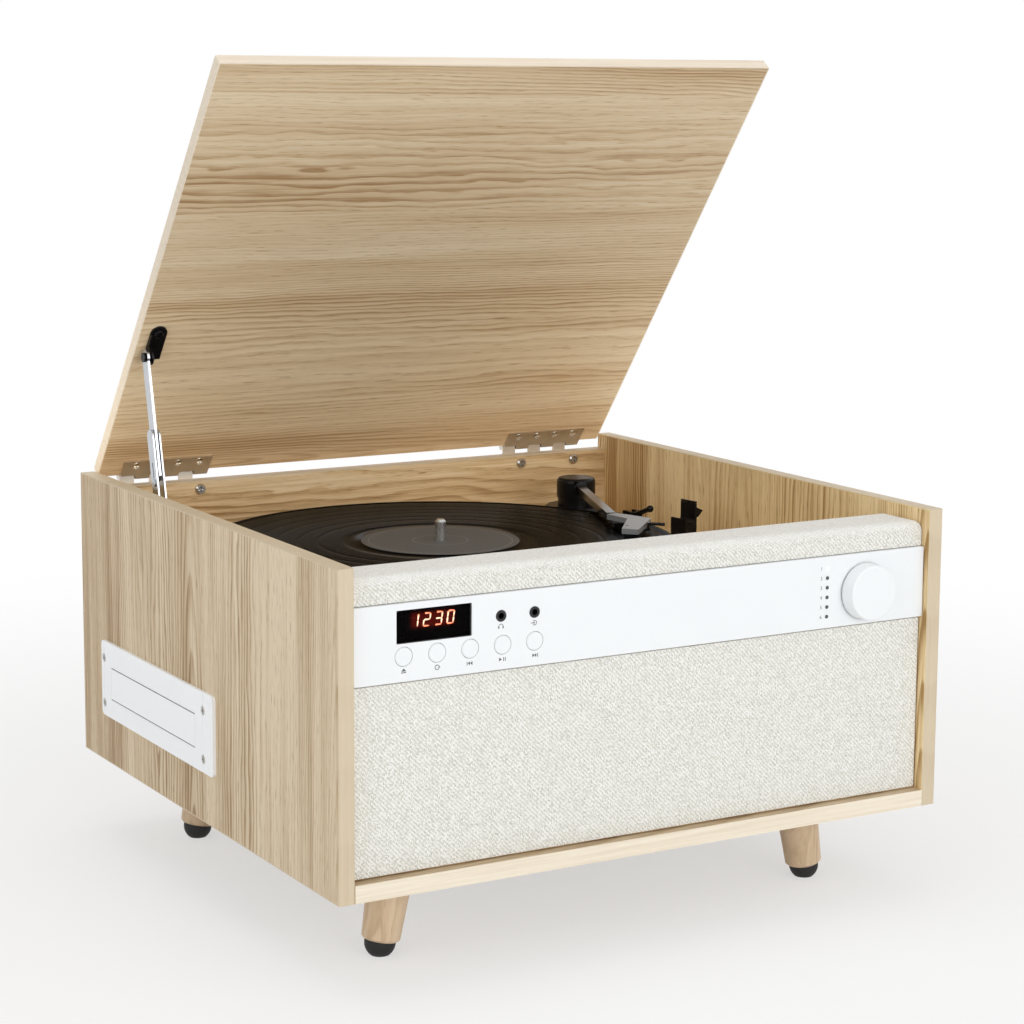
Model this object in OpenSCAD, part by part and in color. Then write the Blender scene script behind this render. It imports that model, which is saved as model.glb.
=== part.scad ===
// Stereo music centre: an oak cabinet on four turned legs, with a record player under
// a hinged lid, a disc drive in the left side and a cassette slot in the right side.
// Front faces -Y, up is +Z, and the origin lies on the floor under the cabinet's middle.

/* [Cabinet] */
// Outer width of the cabinet
cabinet_w = 412; // [400:1:440]
// Outer depth of the cabinet
cabinet_d = 382.4; // [378:0.4:400]
// Outer height of the side panels
cabinet_h = 186; // [184:1:200]
// Thickness of the side and back panels
board_t = 10; // [8:0.5:11]
// Thickness of the base board
base_t = 10; // [8:0.5:10]
// Rounding of the panels' long edges
edge_r = 1.2; // [0.4:0.1:2]
// Step from the top of the sides down to the top of the back panel
back_drop = 10; // [9:0.5:12]

/* [Front] */
// Setback of the baffle from the front edges of the sides
baffle_setback = 9.5; // [8:0.5:12]
// Thickness of the baffle
baffle_t = 10; // [8:0.5:12]
// Thickness of the cloth-covered grille frame
grille_t = 2.5; // [2:0.1:4]
// Dark gap between grille and base, and between grille and strip
grille_gap = 1.2; // [0.4:0.1:2]
// Height of the white control strip
strip_h = 43.5; // [42:0.5:46]
// Depth of the control strip in front of the baffle
strip_t = 4.9; // [4:0.1:6]
// Step from the top of the sides down to the top of the cloth rail
rail_drop = 8; // [8:0.5:12]
// Height of the cloth rail
rail_h = 14.8; // [12:0.2:18]
// Depth of the cloth rail from front to back
rail_d = 36.7; // [30:0.1:38]
// Radius of the rail's upper front edge
rail_front_r = 7; // [3:0.5:9]
// Radius of the rail's upper rear edge and of its ends
rail_rear_r = 3; // [1:0.5:5]
// Gap at each end of the strip, the grille and the rail
front_end_gap = 0.6; // [0.2:0.1:2]

/* [Controls] */
// Diameter of a push button
button_d = 10.5; // [8:0.1:11]
// Travel of a push button
button_travel = 1; // [0.5:0.1:1.5]
// First button, measured from the cabinet's middle
button_x0 = -164; // [-168:1:-150]
// Pitch of the buttons
button_pitch = 20.7; // [14:0.1:24]
// Height of the buttons above the strip's lower edge
button_rise = 14; // [9:0.5:15]
// Width of the display window
window_w = 46.6; // [30:0.2:52]
// Height of the display window
window_h = 18.4; // [12:0.2:19]
// Middle of the display, measured from the cabinet's middle
window_x = -145; // [-150:0.5:-140]
// Height of the display's middle above the strip's lower edge
window_rise = 30.5; // [30:0.5:32]
// First jack, measured from the cabinet's middle
jack_x0 = -103; // [-106:0.1:-96]
// Distance between the two jacks
jack_pitch = 21.6; // [14:0.1:26]
// Diameter of a jack's ring
jack_d = 6.5; // [6:0.1:8]
// Bore of a jack
jack_bore_d = 3.6; // [3.5:0.1:3.8]
// Diameter of a source light
light_d = 2.2; // [1.6:0.1:3]
// Column of source lights, measured from the cabinet's middle
light_x = 122.4; // [116:0.2:126]
// Pitch of the source lights
light_pitch = 5.9; // [4:0.1:6.4]
// Diameter of the volume knob at its foot
knob_d = 34.5; // [28:0.5:36]
// Length of the volume knob
knob_len = 9.9; // [8:0.1:14]
// Middle of the knob, measured from the cabinet's middle
knob_x = 150.2; // [148:0.2:156]
// Height of the knob's middle above the strip's lower edge
knob_rise = 20.4; // [19:0.2:23]
// Travel of the knob when it is pressed
knob_travel = 0.4; // [0.2:0.1:0.5]

/* [Lid] */
// Thickness of the lid
lid_t = 7.6; // [6:0.1:7.8]
// Gap between the lid and each side panel
lid_gap = 1.4; // [0.8:0.1:3]
// Angle at which the lid stands open
lid_open = 52.5; // [45:0.5:58]
// Distance from the hinge axis to the lid's front edge
lid_reach = 344; // [340:1:346]
// Hinge axis behind the back panel's outer face
hinge_out = 3.3; // [3.2:0.1:4]
// Radius of the hinge knuckles
knuckle_r = 2.6; // [2.4:0.1:2.8]
// Radius of the hinge pin
pin_r = 1.3; // [1:0.05:1.5]
// Thickness of the hinge leaves
leaf_t = 1.2; // [0.8:0.1:1.4]
// Length of one hinge
hinge_w = 63; // [48:3:72]
// Middle of each hinge, measured from the cabinet's middle
hinge_x = 147; // [130:1:150]

/* [Lid stay] */
// Length of the upper strap between its pivots
strap_len = 70.8; // [69:0.2:72]
// Width of the strap
strap_w = 8.4; // [6:0.2:9]
// Strap pivot, measured along the lid from the hinge axis
stay_reach = 118.5; // [117:0.5:120]
// Strap pivot below the lid's underside
stay_drop = 7.5; // [6.5:0.1:8]
// Wall pivot in front of the hinge axis
stay_foot_back = 109.5; // [108:0.5:111]
// Wall pivot above the deck
stay_foot_rise = 14; // [12:0.5:15]
// Middle plane of the stay, measured from the left panel's inner face
stay_in = 6.4; // [6:0.1:8]

/* [Record player] */
// Height of the deck's top above the cabinet's underside
deck_z = 130; // [129:0.5:131]
// Thickness of the deck
deck_t = 9; // [6:0.5:12]
// Platter axis, measured from the cabinet's middle
platter_x = -37; // [-38:0.5:-34]
// Platter axis in depth, measured from the cabinet's middle
platter_y = 5; // [4:0.5:6]
// Radius of the platter
platter_r = 100; // [90:1:110]
// Radius of a long-playing record
record_r = 150.8; // [149:0.1:151]
// Thickness of the record
record_t = 1.6; // [1.2:0.1:2]
// Radius of the record's label
label_r = 50; // [46:0.5:52]
// Height of the record's top above the deck
record_rise = 26; // [25:0.5:27]
// Radius of the spindle
spindle_r = 3.5; // [3.5:0.01:3.6]
// Height of the spindle above the record
spindle_h = 13.5; // [10:0.5:16]
// Radial clearance of a turning shaft in its bush
shaft_play = 0.05; // [0.02:0.01:0.09]

/* [Tonearm] */
// Tonearm pivot, measured from the cabinet's middle
arm_x = 139; // [137:0.5:141]
// Tonearm pivot in depth
arm_y = 128; // [126:0.5:130]
// Height of the arm's tube above the deck
arm_rise = 30.5; // [30.4:0.1:31]
// Width of the arm's tube
tube_w = 6; // [5:0.2:6.4]
// Height of the arm's tube
tube_h = 4.8; // [4:0.2:5]
// Length of the arm from its pivot to the headshell's front edge
arm_len = 191; // [190:1:193]
// Direction of the arm at rest, turned from straight ahead towards the record
arm_heading = 21.4; // [20:0.2:23]
// Radius of the turret cap
turret_r = 13.6; // [12.8:0.2:14]
// Direction of the arm on its rest, turned from straight ahead away from the record
park_heading = 8.4; // [8:0.1:8.8]
// Distance from the arm's pivot to the rest
rest_reach = 113; // [110:0.5:118]

/* [Side units] */
// Length of the disc drive's bezel
cd_bezel_w = 180; // [176:0.4:184]
// Height of both side bezels
bezel_h = 49.6; // [46:0.4:54]
// Middle height of both side bezels above the cabinet's underside
bezel_z = 56.7; // [54:0.1:58]
// Bezels' projection from the side panels
bezel_proud = 2; // [1.5:0.1:3]
// Middle of the side bezels in depth
cd_y = 62.8; // [60:0.2:66]
// Length of the disc tray's front
tray_w = 136; // [132:0.2:140]
// Height of the disc tray's front
tray_h = 20.8; // [18:0.2:22]
// Travel of the disc tray
tray_travel = 125; // [100:1:130]
// Length of the cassette slot's opening
slot_w = 104; // [103:0.5:106]
// Height of the cassette slot's opening
slot_h = 15.6; // [14:0.2:17]

/* [Legs] */
// Height from the floor to the cabinet's underside
leg_h = 54; // [48:1:70]
// Radius of a leg at its top
leg_top_r = 13.5; // [12:0.5:16]
// Radius of a leg at its bottom
leg_foot_r = 11.4; // [10:0.2:12]
// Angle at which the legs splay sideways
leg_splay = 10; // [0:0.5:12]
// Legs' tops from the cabinet's middle, sideways
leg_x = 142.5; // [130:0.5:150]
// Legs' tops from the cabinet's middle, in depth
leg_y = 132; // [120:1:150]

/* [Hidden] */
$fn = 64;
fit = 0.3;
half_w = cabinet_w / 2;
half_d = cabinet_d / 2;
inner_w = cabinet_w - 2 * board_t;
inner_x = inner_w / 2;
back_y = half_d - board_t;
back_top = cabinet_h - back_drop;
front_y = -half_d + baffle_setback;
baffle_back = front_y + baffle_t;
rail_top = cabinet_h - rail_drop;
rail_z = rail_top - rail_h;
strip_z = rail_z - 0.4 - strip_h;
strip_face = front_y - strip_t;
grille_z = base_t + grille_gap;
grille_h = strip_z - grille_gap - grille_z;
panel_w = inner_w - 2 * front_end_gap;
fascia_t = 8;
rail_back = front_y - grille_t + rail_d;
fascia_y = rail_back - fascia_t;
board_y = baffle_back + 9.7;
board_thick = 1.6;
strap_t = 1.6;
cheek_t = 1;
screw_r = 2.8;

hinge_y = half_d + hinge_out;
lid_under = rail_top + fit;
hinge_z = lid_under + 2.9;
under_n = lid_under - hinge_z;
lid_back = 3.7;
lid_half = inner_x - lid_gap;
leaf_reach = 16.5;
leaf_back = 3.5;
knuckle_count = 6;
knuckle_w = hinge_w / knuckle_count;
bolt_z = hinge_z - 11;

stay_x = -inner_x + stay_in;
stay_n = under_n - stay_drop;
pivot_y = hinge_y - stay_reach * cos(lid_open) + stay_n * sin(lid_open);
pivot_z = hinge_z + stay_reach * sin(lid_open) + stay_n * cos(lid_open);
foot_y = hinge_y - stay_foot_back;
foot_z = deck_z + stay_foot_rise;
stay_len = norm([pivot_y - foot_y, pivot_z - foot_z]);
channel_len = stay_len - strap_len;
stay_lean = atan2(pivot_y - foot_y, pivot_z - foot_z);
channel_w = 9.2;
channel_over = 25;
stay_pin_r = 1.8;

record_top = deck_z + record_rise;
platter_top = record_top - record_t - 1;
platter_z = deck_z + 4;
belt_ring_r = 60;
belt_t = 0.7;
belt_gap = 0.3;
pulley_r = 5;
motor_dist = 80;
motor_angle = 150;
motor_x = platter_x + motor_dist * cos(motor_angle);
motor_y = platter_y + motor_dist * sin(motor_angle);

arm_z = deck_z + arm_rise;
turret_z = deck_z + 22.4;
turret_h = 14;
tube_end = 130;
head_t = 3.4;
rest_wall = 1.5;
rest_w = 2 * rest_wall + tube_w + 1.2;
rest_d = 14.5;
rest_z = deck_z + 23;
clip_t = 1.2;
clip_z = arm_z + tube_h / 2 + fit;
cue_x = 165.5;
cue_y = 95;
cue_z = deck_z + 11.5;
cue_len = 26;
cue_tilt = 20;

bezel_bottom = bezel_z - bezel_h / 2;
tray_y = cd_y + 5.1;
tray_z = bezel_z - 1.6;
unit_floor = 34;
cassette_w = 140;
slot_y = cd_y - 10;
slot_z = bezel_z + 1;
eject_y = cd_y + 54;
unit_in = 0.2;

bush_r = 4.4;
shaft_r = 3;
plunger_r = 3.8;
encoder_w = 13;
encoder_wall = 1.5;
knob_gap = knob_travel + 0.2;
knob_back = strip_face - knob_gap;

cone_r = 44;
speaker_x = 105;
speaker_z = 64;

bearing_r = 8;
journal_r = spindle_r - 0.3;

speed_x = inner_x - 28;
speed_y = baffle_back + 75.7;
speed_bush_r = 5;

post_r = 6;
plate_r = 23;
head_turn = 22.6;
stylus_z = record_top + 0.2 - arm_z + tube_h / 2 - 1.2;

cd_unit_d = 160;
unit_h = 44;
unit_wall = 6;
cassette_unit_d = 92;
slot_depth = 68;
flap_t = 1.6;

rear_w = 104;
rear_h = 46;
rear_z = 44;
rear_plate_t = 2;
socket_r = 6.4;

bolt_r = 4;
foot_h = 9;
leg_axis_len = (leg_h - foot_h) / cos(leg_splay);

oak = [0.80, 0.72, 0.60];
oak_dark = [0.74, 0.64, 0.48];
beech = [0.78, 0.68, 0.55];
cloth = [0.88, 0.87, 0.83];
white = [0.95, 0.96, 0.96];
black = [0.07, 0.07, 0.08];
steel = [0.70, 0.71, 0.72];
nickel = [0.55, 0.52, 0.47];
grey = [0.62, 0.63, 0.66];
board_green = [0.10, 0.33, 0.20];

// ---- shared shapes ----

// Everything above the legs is drawn from the cabinet's underside
module in_cabinet() {
    translate([0, 0, leg_h]) children();
}

// Children are drawn in the closed lid's own plane: +Y back from the hinge axis, +Z up
module on_lid() {
    in_cabinet() translate([0, hinge_y, hinge_z]) rotate([-lid_open, 0, 0]) children();
}

// Children are drawn with the arm pointing straight ahead from its pivot
module on_arm() {
    in_cabinet() translate([arm_x, arm_y, arm_z]) rotate([0, 0, -arm_heading]) children();
}

// A rectangle with round corners, about the origin
module round_rect(w, h, r) {
    square([w - 2 * r, h], center = true);
    square([w, h - 2 * r], center = true);
    for (sx = [-1, 1], sy = [-1, 1]) {
        translate([sx * (w / 2 - r), sy * (h / 2 - r)]) circle(r = r);
    }
}

// A plate in the XZ plane, from y = 0 towards +Y
module front_plate(w, h, t, r) {
    translate([0, t, 0]) rotate([90, 0, 0]) linear_extrude(t) round_rect(w, h, r);
}

// A plate in the YZ plane, from x = 0 towards +X
module side_plate(w, h, t, r) {
    rotate([90, 0, 90]) linear_extrude(t) round_rect(w, h, r);
}

// A round bar along +Y from y = 0
module bar_y(r, len) {
    rotate([-90, 0, 0]) cylinder(r = r, h = len);
}

// A round bar along +X from x = 0
module bar_x(r, len) {
    rotate([0, 90, 0]) cylinder(r = r, h = len);
}

// A screw head with a cross recess, its face towards -Y and its seat at y = 0
module cross_head(r, h) {
    rotate([90, 0, 0]) difference() {
        union() {
            cylinder(r = r, h = h / 2);
            translate([0, 0, h / 2]) cylinder(r1 = r, r2 = 0.72 * r, h = h / 2);
        }
        for (a = [0, 90]) {
            rotate([0, 0, a]) translate([-0.6 * r, -0.14 * r, h / 2]) cube([1.2 * r, 0.28 * r, h]);
        }
    }
}

// ---- cabinet ----

module side_board() {
    translate([inner_x + board_t / 2, 0, 0]) linear_extrude(cabinet_h)
        round_rect(board_t, cabinet_d, edge_r);
}

module left_side_panel() {
    color(oak) in_cabinet() mirror([1, 0, 0]) difference() {
        side_board();
        translate([inner_x - 1, tray_y - tray_w / 2 - 5, tray_z - tray_h / 2 - 3])
            cube([board_t + 2, tray_w + 10, tray_h + 8]);
    }
}

module right_side_panel() {
    color(oak) in_cabinet() difference() {
        side_board();
        translate([inner_x - 1, slot_y - slot_w / 2 - 6, slot_z - slot_h / 2 - 6])
            cube([board_t + 2, eject_y - slot_y + slot_w / 2 + 14, slot_h + 12]);
    }
}

module base_board() {
    color(oak) in_cabinet() difference() {
        translate([-inner_x, -half_d, 0]) cube([inner_w, cabinet_d - board_t, base_t]);
        each_leg() cylinder(r = bolt_r + fit, h = base_t * 4, center = true);
    }
}

module back_panel() {
    color(oak_dark) in_cabinet() difference() {
        translate([-inner_x, back_y, 0]) cube([inner_w, board_t, back_top]);
        each_socket() translate([0, back_y - 1, 0]) bar_y(socket_r + fit, board_t + 2);
        each_hinge_bolt() translate([0, back_y - 1, 0]) bar_y(2.1, board_t + 2);
    }
}

module inner_cleats() {
    cleat_t = 12;
    color(oak_dark) in_cabinet() {
        for (s = [-1, 1]) {
            translate([s * (inner_x - cleat_t / 2) - cleat_t / 2, baffle_back + 12, deck_z - deck_t - cleat_t])
                cube([cleat_t, back_y - baffle_back - 12, cleat_t]);
        }
        for (y = [tray_y - 60, tray_y + 16]) {
            translate([-inner_x + 16, y, base_t]) cube([cd_unit_d - 30, 16, unit_floor - base_t]);
        }
        for (y = [slot_y - 40, slot_y + 30]) {
            translate([inner_x - 84, y, base_t]) cube([70, 16, unit_floor - base_t]);
        }
    }
}

// Two speaker boards side by side under one long control board, with narrow joints
module front_baffle() {
    joint = 0.3;
    board_w = (inner_w - joint) / 2;
    split_z = grille_z + grille_h;
    color(oak_dark) in_cabinet() difference() {
        union() {
            for (x = [-inner_x, joint / 2]) {
                translate([x, front_y, base_t]) cube([board_w, baffle_t, split_z - joint - base_t]);
            }
            translate([-inner_x, front_y, split_z]) cube([inner_w, baffle_t, rail_z - split_z]);
        }
        each_speaker() translate([0, front_y - 1, 0]) bar_y(cone_r + 2, baffle_t + 2);
        translate([window_x - window_w / 2 - 2, front_y - 1, strip_z + window_rise - window_h / 2 - 0.8])
            cube([window_w + 4, baffle_t + 2, window_h + 1.6]);
        each_button() translate([0, front_y - 1, 0]) bar_y(button_d / 2 + fit, baffle_t + 2);
        each_jack() translate([0, front_y - 1, 0]) bar_y(jack_d / 2 + 0.5, baffle_t + 2);
        each_light() translate([0, front_y - 1, 0]) bar_y(light_d / 2 + 0.1, baffle_t + 2);
        at_knob() translate([0, front_y - 1, 0]) bar_y(bush_r + 0.2, baffle_t + 2);
    }
}

// The board that closes the electronics behind the cloth rail, towards the turntable
module rear_fascia() {
    color(oak_dark) in_cabinet() translate([-inner_x, fascia_y, deck_z])
        cube([inner_w, fascia_t, rail_z - deck_z]);
}

module speaker_grille() {
    color(cloth) in_cabinet() translate([0, front_y - grille_t, grille_z + grille_h / 2]) difference() {
        front_plate(panel_w, grille_h, grille_t, 1.6);
        for (sx = [-1, 1]) {
            translate([sx * panel_w / 2, 0, -grille_h]) rotate([0, 0, 45])
                cube([1.1, 1.1, 4 * grille_h], center = true);
        }
    }
}

// Side profile of the cloth rail, rounded at both upper edges
module rail_profile() {
    translate([-rail_d, 0]) square([rail_d, rail_h - rail_front_r]);
    translate([-rail_d + rail_rear_r, 0]) square([rail_d - rail_rear_r - rail_front_r, rail_h]);
    translate([-rail_d, 0]) square([rail_rear_r + 1, rail_h - rail_rear_r]);
    translate([-rail_d + rail_rear_r, rail_h - rail_rear_r]) circle(r = rail_rear_r);
    translate([-rail_front_r, rail_h - rail_front_r]) circle(r = rail_front_r);
}

module top_rail() {
    color(cloth) in_cabinet() translate([0, front_y - grille_t, rail_z]) intersection() {
        translate([-panel_w / 2, 0, 0]) rotate([90, 0, 90]) mirror([1, 0]) linear_extrude(panel_w)
            rail_profile();
        translate([0, -1, -rail_h]) front_plate(panel_w, 4 * rail_h, rail_d + 2, 0.5);
        translate([0, -1, 0]) front_plate(panel_w, 2 * rail_h, rail_d + 2, rail_rear_r);
    }
}

// ---- front controls ----

module at_button(i) {
    translate([button_x0 + i * button_pitch, 0, strip_z + button_rise]) children();
}

module each_button() {
    for (i = [0:4]) at_button(i) children();
}

module each_jack() {
    for (i = [0, 1]) translate([jack_x0 + i * jack_pitch, 0, strip_z + window_rise]) children();
}

module each_light() {
    for (i = [0:5]) translate([light_x, 0, strip_z + strip_h - 7 - i * light_pitch]) children();
}

module at_knob() {
    translate([knob_x, 0, strip_z + knob_rise]) children();
}

module control_strip() {
    color(white) in_cabinet() difference() {
        translate([0, strip_face, strip_z + strip_h / 2]) front_plate(panel_w, strip_h, strip_t, 0.8);
        translate([window_x, strip_face - 1, strip_z + window_rise])
            front_plate(window_w + 0.2, window_h + 0.2, strip_t + 2, 0.6);
        each_button() translate([0, strip_face - 1, 0]) bar_y(button_d / 2 + fit, strip_t + 2);
        each_jack() translate([0, strip_face - 1, 0]) bar_y(jack_d / 2 + 0.1, strip_t + 2);
        each_light() translate([0, strip_face - 1, 0]) bar_y(light_d / 2 + 0.1, strip_t + 2);
        at_knob() translate([0, strip_face - 1, 0]) bar_y(bush_r + 0.2, strip_t + 2);
        at_knob() translate([0, strip_face - 1, 0]) rotate([-90, 0, 0]) difference() {
            cylinder(r = knob_d / 2 + 0.5, h = 1.4);
            translate([0, 0, -1]) cylinder(r = knob_d / 2 - 1.6, h = 4);
        }
    }
}

module display_window() {
    color([0.05, 0.03, 0.03]) in_cabinet() translate([window_x, strip_face + 0.2, strip_z + window_rise])
        front_plate(window_w, window_h, 1.4, 0.5);
}

module display_module() {
    digit_w = 7.6;
    color(black) in_cabinet() translate([window_x, strip_face + 2, strip_z + window_rise]) {
        front_plate(window_w + 0.2, window_h - 0.2, 9, 0.4);
        for (sx = [-1, 1]) {
            translate([sx * 18 - 3, 8, -5]) cube([6, board_y - strip_face - 10, 10]);
        }
        for (i = [-1.5:1:1.5]) {
            translate([i * (digit_w + 1.4), -0.2, 0]) front_plate(digit_w, window_h - 6, 0.4, 0.4);
        }
    }
}

module source_lights() {
    color(grey) in_cabinet() each_light() translate([0, strip_face - 0.2, 0])
        bar_y(light_d / 2, board_y - strip_face + 0.2);
}

module jack_sockets() {
    color(steel) in_cabinet() each_jack() translate([0, strip_face - 0.3, 0]) difference() {
        bar_y(jack_d / 2, board_y - strip_face + 0.3);
        translate([0, -1, 0]) bar_y(jack_bore_d / 2, 15);
    }
}

// The main board on its posts, and the board behind the front controls
module circuit_boards() {
    color(board_green) in_cabinet() {
        main_board();
        control_board();
    }
}

// Board behind the baffle, with a switch for each button and the knob's encoder
module control_board() {
    switch_h = board_y - baffle_back - button_travel - fit;
    union() {
        difference() {
            union() {
                translate([-inner_x + 10, board_y, strip_z + 3]) cube([124, board_thick, strip_h - 6]);
                translate([light_x - 14, board_y, strip_z + 3]) cube([60, board_thick, strip_h - 6]);
                each_button() translate([-3, baffle_back + button_travel + fit, -3])
                    cube([6, switch_h, 6]);
                at_knob() translate([-encoder_w / 2, baffle_back, -encoder_w / 2])
                    cube([encoder_w, board_y - baffle_back, encoder_w]);
                at_knob() translate([0, front_y - 1.5, 0]) bar_y(bush_r, baffle_t + 2);
            }
            at_knob() translate([0, front_y - 3, 0]) bar_y(shaft_r + shaft_play, baffle_t + 4);
            at_knob() translate([0, baffle_back - 1, 0])
                bar_y(plunger_r + shaft_play, board_y - baffle_back - encoder_wall + 1);
        }
        for (x = [-inner_x + 16, -80, light_x - 8, light_x + 40]) {
            translate([x, baffle_back, strip_z + strip_h - 7]) bar_y(2.4, board_y - baffle_back);
        }
    }
}

module push_button(i) {
    cap_t = 4.2;
    color(white) in_cabinet() at_button(i) translate([0, strip_face - 0.3, 0]) {
        bar_y(button_d / 2 - 0.6, 0.4);
        translate([0, 0.3, 0]) bar_y(button_d / 2, cap_t);
        bar_y(2.4, baffle_back - strip_face + 0.3);
    }
}

module open_close_button() { push_button(0); }
module repeat_button() { push_button(1); }
module previous_button() { push_button(2); }
module play_pause_button() { push_button(3); }
module next_button() { push_button(4); }

// A sliding cup inside the encoder, which the pressed shaft moves
module encoder_plunger() {
    cup_y = baffle_back + 0.6;
    cup_len = board_y - encoder_wall - knob_travel - fit - cup_y;
    color(grey) in_cabinet() at_knob() translate([0, cup_y, 0]) difference() {
        bar_y(plunger_r, cup_len);
        translate([0, -1, 0]) bar_y(shaft_r + shaft_play, cup_len - 0.4);
    }
}

module knob_profile() {
    round_r = 1.2;
    front_r = knob_d / 2 - 0.5;
    polygon([
        [shaft_r, 0], [knob_d / 2 - 2.2, 0], [knob_d / 2 - 2.2, 0.4], [knob_d / 2, 0.4],
        [knob_d / 2, 1.2], [front_r, knob_len - round_r], [front_r - round_r, knob_len - round_r],
        [front_r - round_r, knob_len], [0, knob_len], [0, knob_len - 2], [shaft_r, knob_len - 2]]);
    translate([front_r - round_r, knob_len - round_r]) intersection() {
        circle(r = round_r);
        square(round_r);
    }
}

module volume_knob() {
    shaft_end = baffle_back + 0.6 + (board_y - encoder_wall - knob_travel - fit - baffle_back - 0.6) - 1.8;
    color(white) in_cabinet() at_knob() {
        translate([0, knob_back, 0]) rotate([90, 0, 0]) rotate_extrude($fn = 96) knob_profile();
        translate([0, knob_back - knob_len + 2, 0]) bar_y(shaft_r, shaft_end - knob_back + knob_len - 2);
    }
}

// ---- speakers ----

module each_speaker() {
    for (s = [-1, 1]) translate([s * speaker_x, 0, speaker_z]) children();
}

module speaker_drivers() {
    color(black) in_cabinet() each_speaker() translate([0, baffle_back, 0]) rotate([-90, 0, 0])
        rotate_extrude() polygon([
            [0, 8], [12, 12], [24, 14], [cone_r - 5, 1], [cone_r - 2, -1], [cone_r + 1, 0],
            [cone_r + 6, 0], [cone_r + 6, 3], [cone_r, 3], [28, 24], [28, 40], [0, 40]]);
}

// ---- deck and drive ----

module deck_board() {
    color(oak) in_cabinet() difference() {
        translate([-inner_x, baffle_back + 12, deck_z - deck_t])
            cube([inner_w, back_y - baffle_back - 12, deck_t]);
        translate([platter_x, platter_y, deck_z - deck_t - 1]) cylinder(r = bearing_r, h = deck_t + 2);
        translate([motor_x, motor_y, deck_z - deck_t - 1]) cylinder(r = 7, h = deck_t + 2);
        translate([arm_x, arm_y, deck_z - deck_t - 1]) cylinder(r = post_r, h = deck_t + 2);
        translate([speed_x, speed_y, deck_z - deck_t - 1]) cylinder(r = speed_bush_r, h = deck_t + 2);
    }
}

module platter_bearing() {
    color(steel) in_cabinet() translate([platter_x, platter_y, deck_z - deck_t - 14]) difference() {
        union() {
            cylinder(r = bearing_r, h = deck_t + 16.5);
            translate([0, 0, 11.5]) cylinder(r = 16, h = 2.5);
        }
        translate([0, 0, 2]) cylinder(r = journal_r + shaft_play, h = deck_t + 20);
    }
}

// Platter with its skirt, the ring that the belt drives, the spindle and the rubber mat
module platter() {
    skirt_t = 2.6;
    top_t = 4;
    rib_t = 2.5;
    spindle_z = deck_z - deck_t - 11.8;
    color(steel) in_cabinet() translate([platter_x, platter_y, 0]) {
        rotate_extrude($fn = 128) {
            translate([0, platter_top - top_t]) square([platter_r, top_t]);
            translate([0, platter_top]) square([platter_r - 3, 1]);
            translate([platter_r - skirt_t, platter_z]) square([skirt_t, platter_top - platter_z]);
            translate([belt_ring_r - rib_t, platter_z + 3]) square([rib_t, platter_top - platter_z - 3]);
            translate([0, platter_z]) square([12, platter_top - platter_z]);
        }
        translate([0, 0, spindle_z]) cylinder(r = journal_r, h = platter_z - spindle_z + 1);
        translate([0, 0, platter_top]) cylinder(r = journal_r, h = record_top - platter_top);
        translate([0, 0, record_top]) cylinder(r = spindle_r, h = spindle_h - 1.5);
        translate([0, 0, record_top + spindle_h - 1.5]) cylinder(r1 = spindle_r, r2 = spindle_r - 1.2, h = 1.5);
    }
}

module record_disc() {
    color(black) in_cabinet() translate([platter_x, platter_y, 0]) rotate_extrude($fn = 160) {
        hole_r = spindle_r + 0.1;
        translate([hole_r, record_top - record_t + 0.1]) square([label_r + 2 - hole_r, record_t - 0.2]);
        translate([label_r, record_top - record_t + 0.3]) square([record_r - label_r - 1, record_t - 0.6]);
        translate([record_r - 4, record_top - record_t]) square([3.2, record_t]);
        translate([record_r - record_t / 2, record_top - record_t / 2]) circle(r = record_t / 2, $fn = 24);
    }
}

module record_label() {
    color([0.36, 0.34, 0.33]) in_cabinet() translate([platter_x, platter_y, record_top - 0.1]) difference() {
        cylinder(r = label_r, h = 0.15, $fn = 128);
        translate([0, 0, -1]) cylinder(r = spindle_r + 0.1, h = 3);
    }
}

module motor_pulley() {
    pulley_z = platter_z + 3;
    color(steel) in_cabinet() translate([motor_x, motor_y, 0]) {
        translate([0, 0, deck_z - deck_t - 6]) cylinder(r = 1, h = pulley_z - deck_z + deck_t + 8);
        translate([0, 0, pulley_z]) rotate_extrude() polygon([
            [0, 0], [pulley_r + 1, 0], [pulley_r + 1, 1], [pulley_r, 1.6], [pulley_r, 7.4],
            [pulley_r + 1, 8], [pulley_r + 1, 9], [0, 9]]);
    }
}

module drive_motor() {
    motor_r = 17;
    motor_h = 24;
    color(grey) in_cabinet() translate([motor_x, motor_y, deck_z - deck_t - motor_h]) difference() {
        union() {
            cylinder(r = motor_r, h = motor_h);
            translate([0, 0, motor_h - 2]) cylinder(r = motor_r + 6, h = 2);
            translate([0, 0, motor_h - 1]) cylinder(r = 4, h = deck_t + 1);
        }
        translate([0, 0, motor_h - 8]) cylinder(r = 1 + shaft_play, h = deck_t + 20);
    }
}

// Points along an arc about a centre, from one angle to another
function arc(centre, r, from, to, steps) = [
    for (i = [0:steps]) centre + r * [cos(from + (to - from) * i / steps), sin(from + (to - from) * i / steps)]];

// Outline of a belt round two discs: two arcs, joined by their tangents
module belt_outline(r1, r2, dist) {
    lean = acos((r1 - r2) / dist);
    polygon(concat(arc([0, 0], r1, lean, 360 - lean, 60), arc([dist, 0], r2, -lean, lean, 16)));
}

module drive_belt() {
    color(black) in_cabinet() translate([platter_x, platter_y, platter_z + 5.2])
        rotate([0, 0, motor_angle]) linear_extrude(4.6) difference() {
            belt_outline(belt_ring_r + belt_gap + belt_t, pulley_r + belt_gap + belt_t, motor_dist);
            belt_outline(belt_ring_r + belt_gap, pulley_r + belt_gap, motor_dist);
        }
}

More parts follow.
